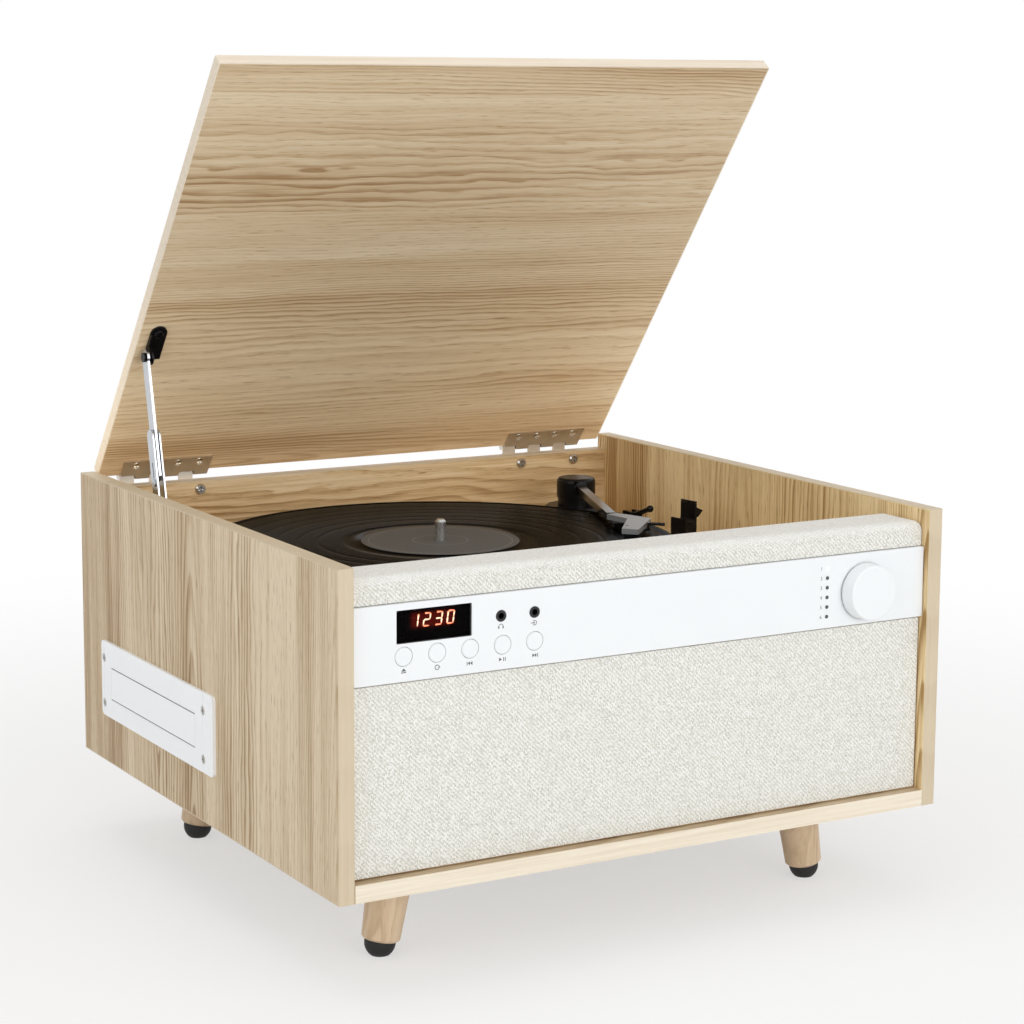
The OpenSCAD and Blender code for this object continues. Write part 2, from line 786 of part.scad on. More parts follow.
// Speed selector beside the platter, turned between three speeds
module speed_lever() {
    color(black) in_cabinet() translate([speed_x, speed_y, deck_z]) {
        translate([0, 0, 0.3]) cylinder(r = 9, h = 4);
        translate([-2, -16, 1.3]) cube([4, 16, 3]);
        translate([0, -16, 1.3]) cylinder(r = 3.2, h = 7);
        translate([0, 0, -deck_t - 2]) cylinder(r = speed_bush_r - fit, h = deck_t + 4);
    }
}

// ---- tonearm ----

module tonearm_base() {
    color(black) in_cabinet() translate([arm_x, arm_y, 0]) {
        translate([0, 0, deck_z - deck_t - 3]) cylinder(r = post_r - 0.1, h = deck_t + 4);
        translate([0, 0, deck_z]) cylinder(r = plate_r, h = 14.5, $fn = 96);
        translate([0, 0, deck_z + 14.5]) cylinder(r1 = plate_r, r2 = plate_r - 2.5, h = 2, $fn = 96);
        translate([0, 0, deck_z + 16.5]) cylinder(r = turret_r - 0.8, h = turret_z - deck_z - 16.5 - fit);
        rotate([0, 0, atan2(cue_y - arm_y, cue_x - arm_x)]) translate([plate_r - 4, -5, deck_z])
            cube([norm([cue_x - arm_x, cue_y - arm_y]) - plate_r - 2, 10, 12]);
        difference() {
            translate([cue_x - arm_x - 5, cue_y - arm_y - 5, deck_z]) cube([10, 10, cue_z - deck_z + 3.5]);
            translate([cue_x - arm_x - 2.3, cue_y - arm_y - 6, deck_z + 7]) cube([4.6, 12, 20]);
            translate([cue_x - arm_x - 7, cue_y - arm_y, cue_z]) bar_x(1.2 + shaft_play, 14);
        }
    }
}

// The turning cap, slotted in front for the tube to rise in
module tonearm_turret() {
    round_r = 3;
    color(black) on_arm() translate([0, 0, turret_z - arm_z]) difference() {
        rotate_extrude($fn = 96) {
            square([turret_r - round_r, turret_h]);
            square([turret_r, turret_h - round_r]);
            translate([turret_r - round_r, turret_h - round_r]) circle(r = round_r, $fn = 32);
        }
        translate([-tube_w / 2 - 0.6, -turret_r - 1, arm_z - turret_z - tube_h / 2 - 0.6])
            cube([tube_w + 1.2, turret_r + 4, tube_h + 2.6]);
        translate([-turret_r - 1, 0, arm_z - turret_z]) bar_x(1.2 + shaft_play, 2 * turret_r + 2);
    }
}

// A folded channel of bright metal, open at the bottom, with its hinge pin at the pivot
module tonearm_tube() {
    wall = 0.8;
    color(steel) on_arm() {
        difference() {
            translate([-tube_w / 2, -tube_end, -tube_h / 2]) cube([tube_w, tube_end + 2, tube_h]);
            translate([-tube_w / 2 + wall, -tube_end - 1, -tube_h / 2 - 1])
                cube([tube_w - 2 * wall, tube_end - 12, tube_h - wall + 1]);
        }
        translate([-turret_r + 2, 0, 0]) bar_x(1.2, 2 * turret_r - 4);
    }
}

// Outline of the headshell, seen from above with the arm pointing to -Y
function head_outline() = [
    [3.6, -tube_end - 0.2], [18, -arm_len + 44], [22, -arm_len + 38], [5.4, -arm_len - 2.4],
    [-4.4, -arm_len + 2.4], [6.5, -arm_len + 39], [-3.6, -tube_end - 4]];

module headshell() {
    color(grey) on_arm() difference() {
        union() {
            translate([0, 0, -tube_h / 2 + 1.2]) linear_extrude(head_t) polygon(head_outline());
            translate([-tube_w / 2 + 0.9, -tube_end - 3, -tube_h / 2 + 0.2]) cube([tube_w - 1.8, 12, tube_h - 1.1]);
        }
        translate([1, -arm_len + 13, -tube_h]) cylinder(r = 1.2, h = 3 * tube_h);
    }
}

// Pick-up under the headshell, with its stylus and the finger lift
module cartridge() {
    color(black) on_arm() translate([0, -arm_len, -tube_h / 2 + 1.2]) {
        rotate([0, 0, -head_turn]) {
            translate([-4, 4, -3]) cube([9.6, 22, 3]);
            translate([-2, 1, -1.8]) cube([4, 4, 1.8]);
            translate([0, 5, stylus_z]) cylinder(r1 = 0.35, r2 = 1.2, h = 1);
            translate([2, 22, -1.2]) cube([6.6, 5, 1.2]);
            translate([7.2, 22, -1.2]) cube([1.4, 5, head_t + 1.9]);
            translate([7.8, 24.5, head_t - 0.3]) bar_x(1, 10.5);
        }
        translate([-2, arm_len - tube_end - 20, -2.8]) cube([12, 17, 2.8]);
    }
}

module at_rest_post() {
    in_cabinet() translate([arm_x, arm_y, 0]) rotate([0, 0, park_heading])
        translate([0, -rest_reach, 0]) children();
}

module arm_rest() {
    groove_r = rest_w / 2 - rest_wall;
    color(black) at_rest_post() difference() {
        union() {
            translate([-rest_w / 2, -rest_d / 2, deck_z]) cube([rest_w, rest_d, rest_z - deck_z]);
            translate([groove_r, -rest_d / 2, deck_z]) cube([rest_wall, rest_d, clip_z - deck_z - 0.2]);
            translate([rest_w / 2 - 1, -rest_d / 2 + 4, rest_z]) rotate([90, 0, 0]) linear_extrude(3)
                polygon([[0, 0], [3.4, 0.6], [7.4, 4.6], [0.8, 7.6], [0, 7.6]]);
            translate([-rest_w / 2 - 3, -rest_d / 2 - 3, deck_z]) cube([rest_w + 6, rest_d + 6, 2]);
        }
        translate([0, -rest_d, rest_z]) bar_y(groove_r, 2 * rest_d);
        translate([groove_r + rest_wall / 2, 0, clip_z - 5]) cylinder(r = 0.5 + shaft_play, h = 10);
    }
}

module arm_clip() {
    color(black) at_rest_post() translate([rest_w / 2 - rest_wall / 2, 0, clip_z]) {
        translate([-rest_wall / 2, -rest_d / 2, 0]) cube([rest_wall, rest_d, clip_t]);
        translate([0, 0, -4.2]) cylinder(r = 0.5, h = 4.8);
    }
}

module cue_lever() {
    color(black) in_cabinet() translate([cue_x, cue_y, cue_z]) {
        translate([-4.6, 0, 0]) bar_x(1.2, 9.2);
        rotate([90 - cue_tilt, 0, 0]) {
            translate([-2, -2, -2.4]) cube([4, 4, 6]);
            cylinder(r = 1.8, h = cue_len - 2.4);
            translate([0, 0, cue_len - 2.4]) sphere(r = 2.5);
        }
    }
}

// ---- lid, hinges and stay ----

module lid_board() {
    color(oak) on_lid() translate([0, -(lid_reach + lid_back) / 2, under_n])
        linear_extrude(lid_t) round_rect(2 * lid_half, lid_reach - lid_back, edge_r);
}

module each_hinge() {
    for (s = [-1, 1]) translate([s * hinge_x - hinge_w / 2, 0, 0]) children();
}

module each_hinge_bolt() {
    for (s = [-1, 1], x = [-22, 22]) translate([s * hinge_x + x, 0, bolt_z]) children();
}

// One knuckle about the hinge axis, number k from the hinge's left end
module knuckle(k) {
    translate([k * knuckle_w + fit / 2, 0, 0]) bar_x(knuckle_r, knuckle_w - fit);
}

// Leaves on the back panel's outer face, with the pins that they carry
module hinge_body_leaves() {
    leaf_z = bolt_z - 8;
    color(nickel) in_cabinet() {
        difference() {
            each_hinge() {
                translate([0, half_d, leaf_z]) cube([hinge_w, leaf_t, back_top - leaf_z - 0.4]);
                for (k = [0, 2, 4]) {
                    translate([0, hinge_y, hinge_z]) knuckle(k);
                    translate([k * knuckle_w + fit / 2, half_d, leaf_z])
                        cube([knuckle_w - fit, leaf_t, hinge_z - leaf_z]);
                }
            }
            each_hinge_bolt() translate([0, half_d - 1, 0]) bar_y(2.1, 4);
        }
        each_hinge() translate([0.2, hinge_y, hinge_z]) bar_x(pin_r, hinge_w - 0.4);
    }
}

module hinge_lid_leaves() {
    color(nickel) on_lid() difference() {
        each_hinge() {
            translate([0, -leaf_reach, under_n - leaf_t]) cube([hinge_w, leaf_reach - leaf_back, leaf_t]);
            for (k = [1, 3, 5]) {
                knuckle(k);
                translate([k * knuckle_w + fit / 2, -leaf_back - 0.2, under_n - leaf_t])
                    cube([knuckle_w - fit, leaf_back + 0.2, leaf_t]);
                translate([k * knuckle_w + fit / 2, -leaf_back + 0.2, under_n - leaf_t])
                    cube([knuckle_w - fit, leaf_back - 0.2, leaf_t + 1]);
            }
        }
        each_hinge() translate([-1, 0, 0]) bar_x(pin_r + shaft_play, hinge_w + 2);
        each_leaf_screw() cylinder(r = 1.6, h = 10, center = true);
    }
}

module each_leaf_screw() {
    for (s = [-1, 1], i = [-1.5:1:1.5]) {
        translate([s * hinge_x + i * 15, -leaf_reach + 4, under_n - leaf_t]) children();
    }
}

module hinge_screws() {
    color(nickel) on_lid() each_leaf_screw() rotate([90, 0, 0]) cross_head(screw_r, 0.6);
}

// All fixings of the cabinet: hinge bolts, leg bolts and the side units' screws
module screws_and_bolts() {
    nut_h = 2.2;
    color(steel) {
        in_cabinet() each_hinge_bolt() {
            translate([0, back_y, 0]) cross_head(3.6, 2.2);
            translate([0, back_y - 0.2, 0]) bar_y(2, board_t + leaf_t + nut_h + 0.6);
            translate([0, half_d + leaf_t, 0]) rotate([-90, 0, 0]) cylinder(r = 3.4, h = nut_h, $fn = 6);
        }
        bezel_screws();
        leg_bolts();
        in_cabinet() each_plate_screw() rotate([0, 0, 180]) cross_head(2.6, 1);
    }
}

// Black plate screwed under the lid, with the ear that holds the strap
module stay_lid_bracket() {
    plate_t = 1.4;
    plate_w = 11;
    color(black) on_lid() {
        translate([stay_x + 2.2 + plate_w / 2, -stay_reach, under_n - plate_t]) linear_extrude(plate_t) {
            translate([0, -14]) circle(r = plate_w / 2);
            translate([-plate_w / 2, -14]) square([plate_w, 22]);
        }
        translate([stay_x + 2.2, -stay_reach, 0]) difference() {
            rotate([90, 0, 90]) linear_extrude(plate_t) {
                translate([0, stay_n]) circle(r = 5);
                translate([-5, stay_n]) square([10, under_n - stay_n]);
                translate([-14, under_n - 3]) square([22, 3]);
            }
        }
        translate([stay_x - 1.5, -stay_reach, stay_n]) bar_x(stay_pin_r, 4.2);
        translate([stay_x - 2.1, -stay_reach, stay_n]) bar_x(3, 0.9);
        translate([stay_x + 2.2 + plate_w / 2, -stay_reach - 14, under_n - plate_t]) rotate([90, 0, 0])
            cross_head(3.2, 1.2);
    }
}

// Children are drawn with the straight stay standing on its wall pivot
module on_stay() {
    in_cabinet() translate([stay_x, foot_y, foot_z]) rotate([-stay_lean, 0, 0]) children();
}

module stay_strap() {
    color(steel) on_stay() difference() {
        rotate([90, 0, 90]) translate([0, 0, -strap_t / 2]) linear_extrude(strap_t) {
            translate([-strap_w / 2, channel_len - 4]) square([strap_w, strap_len + 4]);
            translate([0, stay_len]) circle(r = strap_w / 2 + 0.8);
            translate([0, channel_len - 4]) circle(r = strap_w / 2);
        }
        translate([-strap_t, 0, stay_len]) bar_x(stay_pin_r + shaft_play, 2 * strap_t);
    }
}

// Two cheeks that the strap folds between, joined by a web near the wall pivot
module stay_channel() {
    cheek_x = strap_t / 2 + 0.9;
    top = channel_len + channel_over;
    color(steel) on_stay() {
        for (s = [-1, 1]) {
            difference() {
                translate([s * (cheek_x + cheek_t / 2) - cheek_t / 2, 0, 0]) rotate([90, 0, 90])
                    linear_extrude(cheek_t) {
                        translate([-channel_w / 2, 0]) square([channel_w, top - channel_w / 2]);
                        circle(r = channel_w / 2);
                        translate([0, top - channel_w / 2]) circle(r = channel_w / 2);
                    }
                translate([-8, 0, 0]) bar_x(stay_pin_r + shaft_play, 16);
                translate([-8, -0.9, channel_len - 6]) cube([16, 1.8, 10]);
            }
        }
        translate([-cheek_x - cheek_t, channel_w / 2 - 1, 5]) cube([2 * (cheek_x + cheek_t), 1, channel_len - 36]);
        translate([-cheek_x - cheek_t - 0.8, 0, channel_len - 9]) bar_x(2.4, 0.9);
    }
}

module stay_wall_bracket() {
    cheek_out = strap_t / 2 + 0.9 + cheek_t;
    color(steel) in_cabinet() translate([-inner_x, foot_y, foot_z]) {
        difference() {
            side_plate(14, 24, 1.6, 3);
            for (z = [-7.5, 7.5]) translate([-1, 0, z]) bar_x(1.6, 4);
        }
        bar_x(stay_pin_r, stay_in + cheek_out + 1.3);
        translate([stay_in + cheek_out + fit, 0, 0]) bar_x(3.2, 1);
        bar_x(3.4, stay_in - cheek_out - fit);
    }
}

// ---- side units ----

module cd_bezel() {
    wall = 2.2;
    color(white) in_cabinet() mirror([1, 0, 0]) difference() {
        union() {
            translate([half_w, cd_y, bezel_z]) side_plate(cd_bezel_w, bezel_h, bezel_proud, 3.4);
            translate([inner_x + unit_in, tray_y, tray_z])
                side_plate(tray_w + 2 * wall, tray_h + 2 * wall, board_t, 1);
        }
        translate([inner_x - 1, tray_y, tray_z])
            side_plate(tray_w + 2 * fit, tray_h + 2 * fit, board_t + bezel_proud + 2, 0.5);
        each_cd_screw() translate([half_w + bezel_proud - 0.9, 0, 0]) bar_x(screw_r + 0.1, 2);
        for (y = [-1, 1]) {
            translate([half_w + bezel_proud - 0.3, tray_y + y * 80.4 - 0.4, bezel_bottom - 1])
                cube([1, 0.8, bezel_h + 2]);
        }
    }
}

module each_cd_screw() {
    for (y = [-80.4, 80.4], z = [-1, 1]) {
        translate([0, tray_y + y, tray_z + z * 15]) children();
    }
}

module each_cassette_screw() {
    for (y = [-1, 1], z = [-1, 1]) {
        translate([0, cd_y + y * (cassette_w / 2 - 6), bezel_z + z * 18]) children();
    }
}

module bezel_screws() {
    in_cabinet() {
        mirror([1, 0, 0]) each_cd_screw() translate([half_w + bezel_proud - 0.9, 0, 0])
            rotate([0, 0, 90]) cross_head(screw_r, 0.9);
        each_cassette_screw() translate([half_w + bezel_proud - 0.9, 0, 0])
            rotate([0, 0, 90]) cross_head(screw_r, 0.9);
    }
}

module cd_mechanism() {
    color(grey) in_cabinet() translate([-inner_x + unit_in, 0, 0]) difference() {
        translate([0, tray_y - tray_w / 2 - unit_wall, unit_floor])
            cube([cd_unit_d, tray_w + 2 * unit_wall, unit_h]);
        translate([-1, tray_y - tray_w / 2 - fit, tray_z - tray_h / 2 - fit])
            cube([cd_unit_d - unit_wall - 1, tray_w + 2 * fit, tray_h + 2 * fit]);
    }
}

// Sliding tray with its front, the disc's recess and the opening for the disc motor
module cd_tray() {
    front_t = 2.6;
    tray_len = 148;
    disc_r = 60.5;
    disc_x = -half_w + 74;
    color(white) in_cabinet() difference() {
        union() {
            translate([-half_w - bezel_proud, tray_y, tray_z]) side_plate(tray_w, tray_h, front_t, 0.6);
            translate([-half_w, tray_y - tray_w / 2 + 1, tray_z - tray_h / 2 + 0.2])
                cube([tray_len, tray_w - 2, 6]);
        }
        translate([disc_x, tray_y, tray_z - tray_h / 2 + 3.6]) cylinder(r = disc_r, h = 10, $fn = 96);
        translate([disc_x, tray_y, tray_z - tray_h / 2 - 1]) cylinder(r = 19, h = 10);
        translate([disc_x, tray_y - 11, tray_z - tray_h / 2 - 1]) cube([46, 22, 10]);
    }
}

module cassette_bezel() {
    wall = 2;
    color(white) in_cabinet() difference() {
        union() {
            translate([half_w, cd_y, bezel_z]) side_plate(cassette_w, bezel_h, bezel_proud, 3.4);
            translate([inner_x + unit_in, slot_y, slot_z])
                side_plate(slot_w + 2 * wall, slot_h + 2 * wall, board_t, 1);
        }
        translate([inner_x - 1, slot_y, slot_z]) side_plate(slot_w, slot_h, board_t + bezel_proud + 2, 0.4);
        translate([inner_x - 1, eject_y, slot_z]) side_plate(12.6, 8.6, board_t + bezel_proud + 2, 0.8);
        each_cassette_screw() translate([half_w + bezel_proud - 0.9, 0, 0]) bar_x(screw_r + 0.1, 2);
    }
}

module cassette_mechanism() {
    color(grey) in_cabinet() difference() {
        translate([inner_x - unit_in - cassette_unit_d, slot_y - slot_w / 2 - unit_wall, unit_floor])
            cube([cassette_unit_d, cassette_w - 2 * unit_wall, unit_h]);
        translate([inner_x - slot_depth, slot_y - slot_w / 2, slot_z - slot_h / 2])
            cube([slot_depth + 2, slot_w, slot_h + 1]);
        translate([inner_x - 14, eject_y - 7, slot_z - 5]) cube([16, 14, 10]);
    }
}

module cassette_flap() {
    axle_r = 0.9;
    flap_x = half_w + bezel_proud - 3.4;
    color(white) in_cabinet() translate([flap_x, slot_y, slot_z + slot_h / 2 - 1.6]) {
        translate([-flap_t / 2, -slot_w / 2 + fit, -slot_h + 1.6 + fit])
            cube([flap_t, slot_w - 2 * fit, slot_h - 1.6 - fit]);
        translate([0, -slot_w / 2 + fit, 0]) bar_y(axle_r + 0.1, slot_w - 2 * fit);
    }
}

module eject_button() {
    stem_x = inner_x - 6;
    color(white) in_cabinet() {
        translate([half_w + bezel_proud - 8, eject_y, slot_z]) side_plate(12, 8, 8, 0.8);
        translate([stem_x, eject_y - 3, slot_z - 2]) cube([half_w + bezel_proud - 7 - stem_x, 6, 4]);
    }
}

// ---- electronics at the base and the back ----

module main_board() {
    main_w = 130;
    main_d = 90;
    sink_w = 40;
    sink_h = 26;
    fins = 6;
    post_in = 6;
    translate([-20, baffle_back + 61.7, base_t]) {
        for (x = [post_in, main_w - post_in], y = [post_in, main_d - post_in]) {
            translate([x, y, 0]) cylinder(r = 3, h = 7);
        }
        translate([0, 0, 6]) cube([main_w, main_d, board_thick]);
        for (i = [0:2]) translate([18 + i * 16, main_d - 20, 7]) cylinder(r = 6, h = 22);
        translate([main_w - sink_w - 10, 20, 7]) cube([sink_w, 4, sink_h]);
        for (i = [0:fins - 1]) {
            translate([main_w - sink_w - 10 + i * (sink_w - 4) / (fins - 1), 24, 7]) cube([1.6, 14, sink_h]);
        }
        translate([24, 20, 7]) cube([14, 14, 3]);
    }
}

module rear_plate() {
    color(black) in_cabinet() translate([0, half_d, rear_z]) difference() {
        front_plate(rear_w, rear_h, rear_plate_t, 3);
        for (x = [-30, -12]) translate([x, -1, 0]) bar_y(4.8, 4);
        translate([28, -1, 0]) bar_y(5.2, 4);
    }
}

module each_plate_screw() {
    for (sx = [-1, 1], sz = [-1, 1]) {
        translate([sx * (rear_w / 2 - 5), half_d + 2, rear_z + sz * (rear_h / 2 - 5)]) children();
    }
}

module each_socket() {
    for (x = [-30, -12, 28]) translate([x, 0, rear_z]) children();
}

// Two line-out sockets and the power inlet, on their own small board
module rear_sockets() {
    socket_out = 3.2;
    socket_d = board_t + 1;
    color(steel) in_cabinet() translate([0, half_d, 0]) {
        translate([-42, -socket_d - board_thick, rear_z - 12]) cube([84, board_thick, 24]);
        difference() {
            union() {
                each_socket() translate([0, -socket_d, 0]) bar_y(socket_r, socket_d);
                for (x = [-30, -12]) {
                    translate([x, -1, rear_z]) bar_y(4.6, 1 + rear_plate_t);
                    translate([x, rear_plate_t, rear_z]) bar_y(4.15, socket_out);
                }
                translate([28, -1, rear_z]) bar_y(5, 3.4);
            }
            for (x = [-30, -12]) translate([x, -6, rear_z]) bar_y(1.7, 20);
            translate([28, -7, rear_z]) bar_y(2.9, 20);
        }
        translate([28, -8, rear_z]) bar_y(1, 9);
    }
}

// ---- legs ----

module each_leg() {
    for (sx = [-1, 1], sy = [-1, 1]) {
        translate([sx * leg_x, sy * leg_y, 0]) rotate([0, -sx * leg_splay, 0]) children();
    }
}

module legs() {
    chamfer = 1.2;
    grow = (leg_top_r - leg_foot_r) / leg_axis_len;
    color(beech) in_cabinet() difference() {
        intersection() {
            each_leg() translate([0, 0, -leg_axis_len]) {
                cylinder(r1 = leg_foot_r - chamfer, r2 = leg_foot_r, h = chamfer);
                translate([0, 0, chamfer]) cylinder(r1 = leg_foot_r, r2 = leg_top_r + 8 * grow, h = leg_axis_len + 7);
            }
            translate([-half_w, -half_d, -leg_h]) cube([cabinet_w, cabinet_d, leg_h]);
        }
        each_leg() translate([0, 0, -24]) cylinder(r = bolt_r + 0.1, h = 60);
    }
}

module leg_bolts() {
    nut_r = 7.5;
    seat = (base_t + nut_r * sin(leg_splay)) / cos(leg_splay) + 0.1;
    in_cabinet() intersection() {
        each_leg() {
            translate([0, 0, -22]) cylinder(r = bolt_r, h = 22 + base_t + 8);
            translate([0, 0, seat]) cylinder(r = nut_r, h = 4, $fn = 6);
        }
        translate([-half_w, -half_d, -leg_h]) cube([cabinet_w, cabinet_d, leg_h + base_t + 8]);
    }
}

module rubber_feet() {
    dome_r = 9.2;
    color(black) in_cabinet() intersection() {
        each_leg() intersection() {
            translate([0, 0, -leg_axis_len - 1.8]) sphere(r = dome_r);
            translate([0, 0, -leg_axis_len - 20]) cylinder(r = 2 * dome_r, h = 20);
        }
        translate([-half_w, -half_d, -leg_h]) cube([cabinet_w, cabinet_d, leg_h]);
    }
}

left_side_panel();
right_side_panel();
base_board();
back_panel();
front_baffle();
rear_fascia();
speaker_grille();
top_rail();
control_strip();
display_window();
display_module();
source_lights();
jack_sockets();
circuit_boards();
speaker_drivers();
deck_board();
inner_cleats();
platter_bearing();
drive_motor();
drive_belt();
tonearm_base();
arm_rest();
hinge_body_leaves();
screws_and_bolts();
stay_wall_bracket();
cd_bezel();
cd_mechanism();
cassette_bezel();
cassette_mechanism();
rear_plate();
rear_sockets();
legs();
rubber_feet();
lid_board();
hinge_lid_leaves();
hinge_screws();
stay_lid_bracket();
stay_strap();
stay_channel();
platter();
record_disc();
record_label();
motor_pulley();
tonearm_turret();
tonearm_tube();
headshell();
cartridge();
cue_lever();
arm_clip();
open_close_button();
repeat_button();
previous_button();
play_pause_button();
next_button();
encoder_plunger();
volume_knob();
cd_tray();
cassette_flap();
eject_button();
speed_lever();
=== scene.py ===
from math import cos, pi, radians, sin, tan, tau

import bmesh
import bpy
from mathutils import Matrix, Vector


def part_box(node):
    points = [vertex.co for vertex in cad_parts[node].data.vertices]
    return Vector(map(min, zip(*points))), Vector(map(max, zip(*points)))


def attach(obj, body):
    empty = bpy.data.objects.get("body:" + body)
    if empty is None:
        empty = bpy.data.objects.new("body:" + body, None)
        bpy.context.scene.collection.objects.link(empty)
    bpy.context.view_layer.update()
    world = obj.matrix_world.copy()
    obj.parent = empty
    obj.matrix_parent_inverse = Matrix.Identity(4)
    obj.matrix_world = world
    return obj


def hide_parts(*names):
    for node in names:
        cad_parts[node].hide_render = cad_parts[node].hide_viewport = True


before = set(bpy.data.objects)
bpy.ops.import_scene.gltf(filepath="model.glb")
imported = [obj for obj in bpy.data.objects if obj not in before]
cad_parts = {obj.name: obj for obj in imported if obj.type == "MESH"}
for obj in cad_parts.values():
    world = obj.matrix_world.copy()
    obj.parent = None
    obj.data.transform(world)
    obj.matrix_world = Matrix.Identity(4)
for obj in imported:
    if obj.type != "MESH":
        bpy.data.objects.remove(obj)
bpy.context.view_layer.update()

MM = 0.001
scene = bpy.context.scene


# ---- sizes and directions, in metres, many of them from the frame ----

def middle(node):
    """Middle of a node's box."""
    low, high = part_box(node)
    return (low + high) / 2


STRIP_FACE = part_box("control_strip")[0].y
RECORD_LOW, RECORD_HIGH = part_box("record_disc")
RECORD_AXIS = middle("record_disc")
WINDOW = middle("display_window")
FIGURES_Z = WINDOW.z + 2.4 * MM
FIGURE_PITCH = 7.4 * MM
FIGURE_HALF_H = 3.5 * MM
FIGURE_HALF_W = 1.85 * MM
LID_REST = radians(52.5)
HINGE = Vector((0, 194.5, 235.2)) * MM
LID_FRONT = 343.4 * MM
LID_HALF_W = 194 * MM
EDGE_SHOWS = 0.6 * MM
ROLL_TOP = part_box("top_rail")[1].z
THREAD = 0.68 * MM
GROOVE_PITCH = 0.42 * MM
GROOVES_IN, GROOVES_OUT = 61 * MM, 146 * MM
LABEL_RINGS = (45.5 * MM, 17.5 * MM)
SPINDLE_R = 3.6 * MM

LEFT_RIGHT = Vector((1, 0, 0))
FRONT_BACK = Vector((0, 1, 0))
UPRIGHT = Vector((0, 0, 1))
LID_REACH = Vector((0, -cos(LID_REST), sin(LID_REST)))


# ---- shader building ----

def paint(red, green, blue):
    """A colour picked as 0 to 255 display values, as the renderer wants it."""
    def linear(value):
        value /= 255
        return value / 12.92 if value <= 0.04045 else ((value + 0.055) / 1.055) ** 2.4
    return (linear(red), linear(green), linear(blue), 1)


class Value:
    """An output socket. Arithmetic on it adds Math nodes to its tree."""

    def __init__(self, tree, socket):
        self.tree = tree
        self.socket = socket

    def math(self, operation, *inputs):
        return self.tree.node("ShaderNodeMath", {"operation": operation}, inputs)

    def __add__(self, other):
        return self.math("ADD", self, other)

    __radd__ = __add__

    def __mul__(self, other):
        return self.math("MULTIPLY", self, other)

    __rmul__ = __mul__

    def __sub__(self, other):
        return self.math("SUBTRACT", self, other)

    def __rsub__(self, other):
        return self.math("SUBTRACT", other, self)

    def __truediv__(self, other):
        return self.math("DIVIDE", self, other)

    def __gt__(self, other):
        return self.math("GREATER_THAN", self, other)

    def __lt__(self, other):
        return self.math("LESS_THAN", self, other)

    def most(self, other):
        return self.math("MAXIMUM", self, other)

    def floor(self):
        return self.math("FLOOR", self)

    def fraction(self):
        return self.math("FRACT", self)

    def size(self):
        return self.math("ABSOLUTE", self)

    def wave(self):
        return self.math("SINE", self)


class Tree:
    """A node tree with one call that makes any node."""

    def __init__(self, tree):
        self.tree = tree

    def node(self, kind, settings=None, inputs=(), out=0):
        made = self.tree.nodes.new(kind)
        for name, value in (settings or {}).items():
            if name == "stops":
                self.set_stops(made.color_ramp, value)
            else:
                setattr(made, name, value)
        if not isinstance(inputs, dict):
            inputs = dict(enumerate(inputs))
        for key, value in inputs.items():
            self.feed(made.inputs[key], value)
        return Value(self, made.outputs[out])

    def feed(self, socket, value):
        if isinstance(value, Value):
            self.tree.links.new(value.socket, socket)
        else:
            socket.default_value = value

    def set_stops(self, ramp, stops):
        while len(ramp.elements) < len(stops):
            ramp.elements.new(0.5)
        for element, (position, colour) in zip(ramp.elements, stops):
            element.position = position
            element.color = colour

    def ramp(self, value, stops):
        return self.node("ShaderNodeValToRGB", {"stops": stops}, (value,), "Color")

    def ease(self, value, start, end, low=0.0, high=1.0):
        """Low before start, high after end, with a smooth change between."""
        return self.node("ShaderNodeMapRange", {"interpolation_type": "SMOOTHSTEP"},
                         (value, start, end, low, high))

    def mix(self, share, first, second, blend="MIX"):
        return self.node("ShaderNodeMix", {"data_type": "RGBA", "blend_type": blend},
                         {0: share, 6: first, 7: second}, 2)

    def vector(self, operation, *inputs, out=0):
        return self.node("ShaderNodeVectorMath", {"operation": operation}, inputs, out)

    def along(self, direction):
        """Distance along a direction, in metres from the origin."""
        return self.vector("DOT_PRODUCT", self.place, tuple(direction), out="Value")

    def length(self, first, second):
        """Length of the two sides of a right angle."""
        return self.vector("LENGTH", self.join(first, second, 0.0), out="Value")

    def join(self, x, y, z):
        return self.node("ShaderNodeCombineXYZ", None, (x, y, z))

    def noise(self, place, scale=1.0, detail=2.0, roughness=0.5):
        return self.node("ShaderNodeTexNoise", None,
                         {"Vector": place, "Scale": scale, "Detail": detail, "Roughness": roughness}, "Fac")

    def chance(self, value):
        """A steady random number from 0 to 1 for each whole number."""
        return self.node("ShaderNodeTexWhiteNoise", {"noise_dimensions": "1D"}, {"W": value}, "Value")


class Finish(Tree):
    """A material around one Principled shader, on Object coordinates."""

    def __init__(self, name, **constants):
        material = bpy.data.materials.new(name)
        material.use_nodes = True
        super().__init__(material.node_tree)
        self.material = material
        self.shader = material.node_tree.nodes["Principled BSDF"]
        self.place = self.node("ShaderNodeTexCoord", None, (), "Object")
        self.set(**constants)

    def set(self, **values):
        for name, value in values.items():
            self.feed(self.shader.inputs[name.replace("_", " ")], value)
        return self

    def relief(self, height, depth, strength=1.0):
        """Bump of a height from 0 to 1 that stands for depth metres."""
        bump = self.node("ShaderNodeBump", None,
                         {"Strength": strength, "Distance": depth, "Height": height}, "Normal")
        return self.set(Normal=bump)

    def radius(self, axis, normal=2):
        """Distance from an axis through a point, along X, Y or Z."""
        flat = [1, 1, 1]
        flat[normal] = 0
        offset = self.vector("SUBTRACT", self.place, tuple(axis))
        return self.vector("LENGTH", self.vector("MULTIPLY", offset, tuple(flat)), out="Value")


def wear(*nodes, finish):
    """Puts a finish on every material slot of the named nodes."""
    for name in nodes:
        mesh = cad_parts[name].data
        if not mesh.materials:
            mesh.materials.append(finish.material)
        for slot in range(len(mesh.materials)):
            mesh.materials[slot] = finish.material


# ---- finishes ----

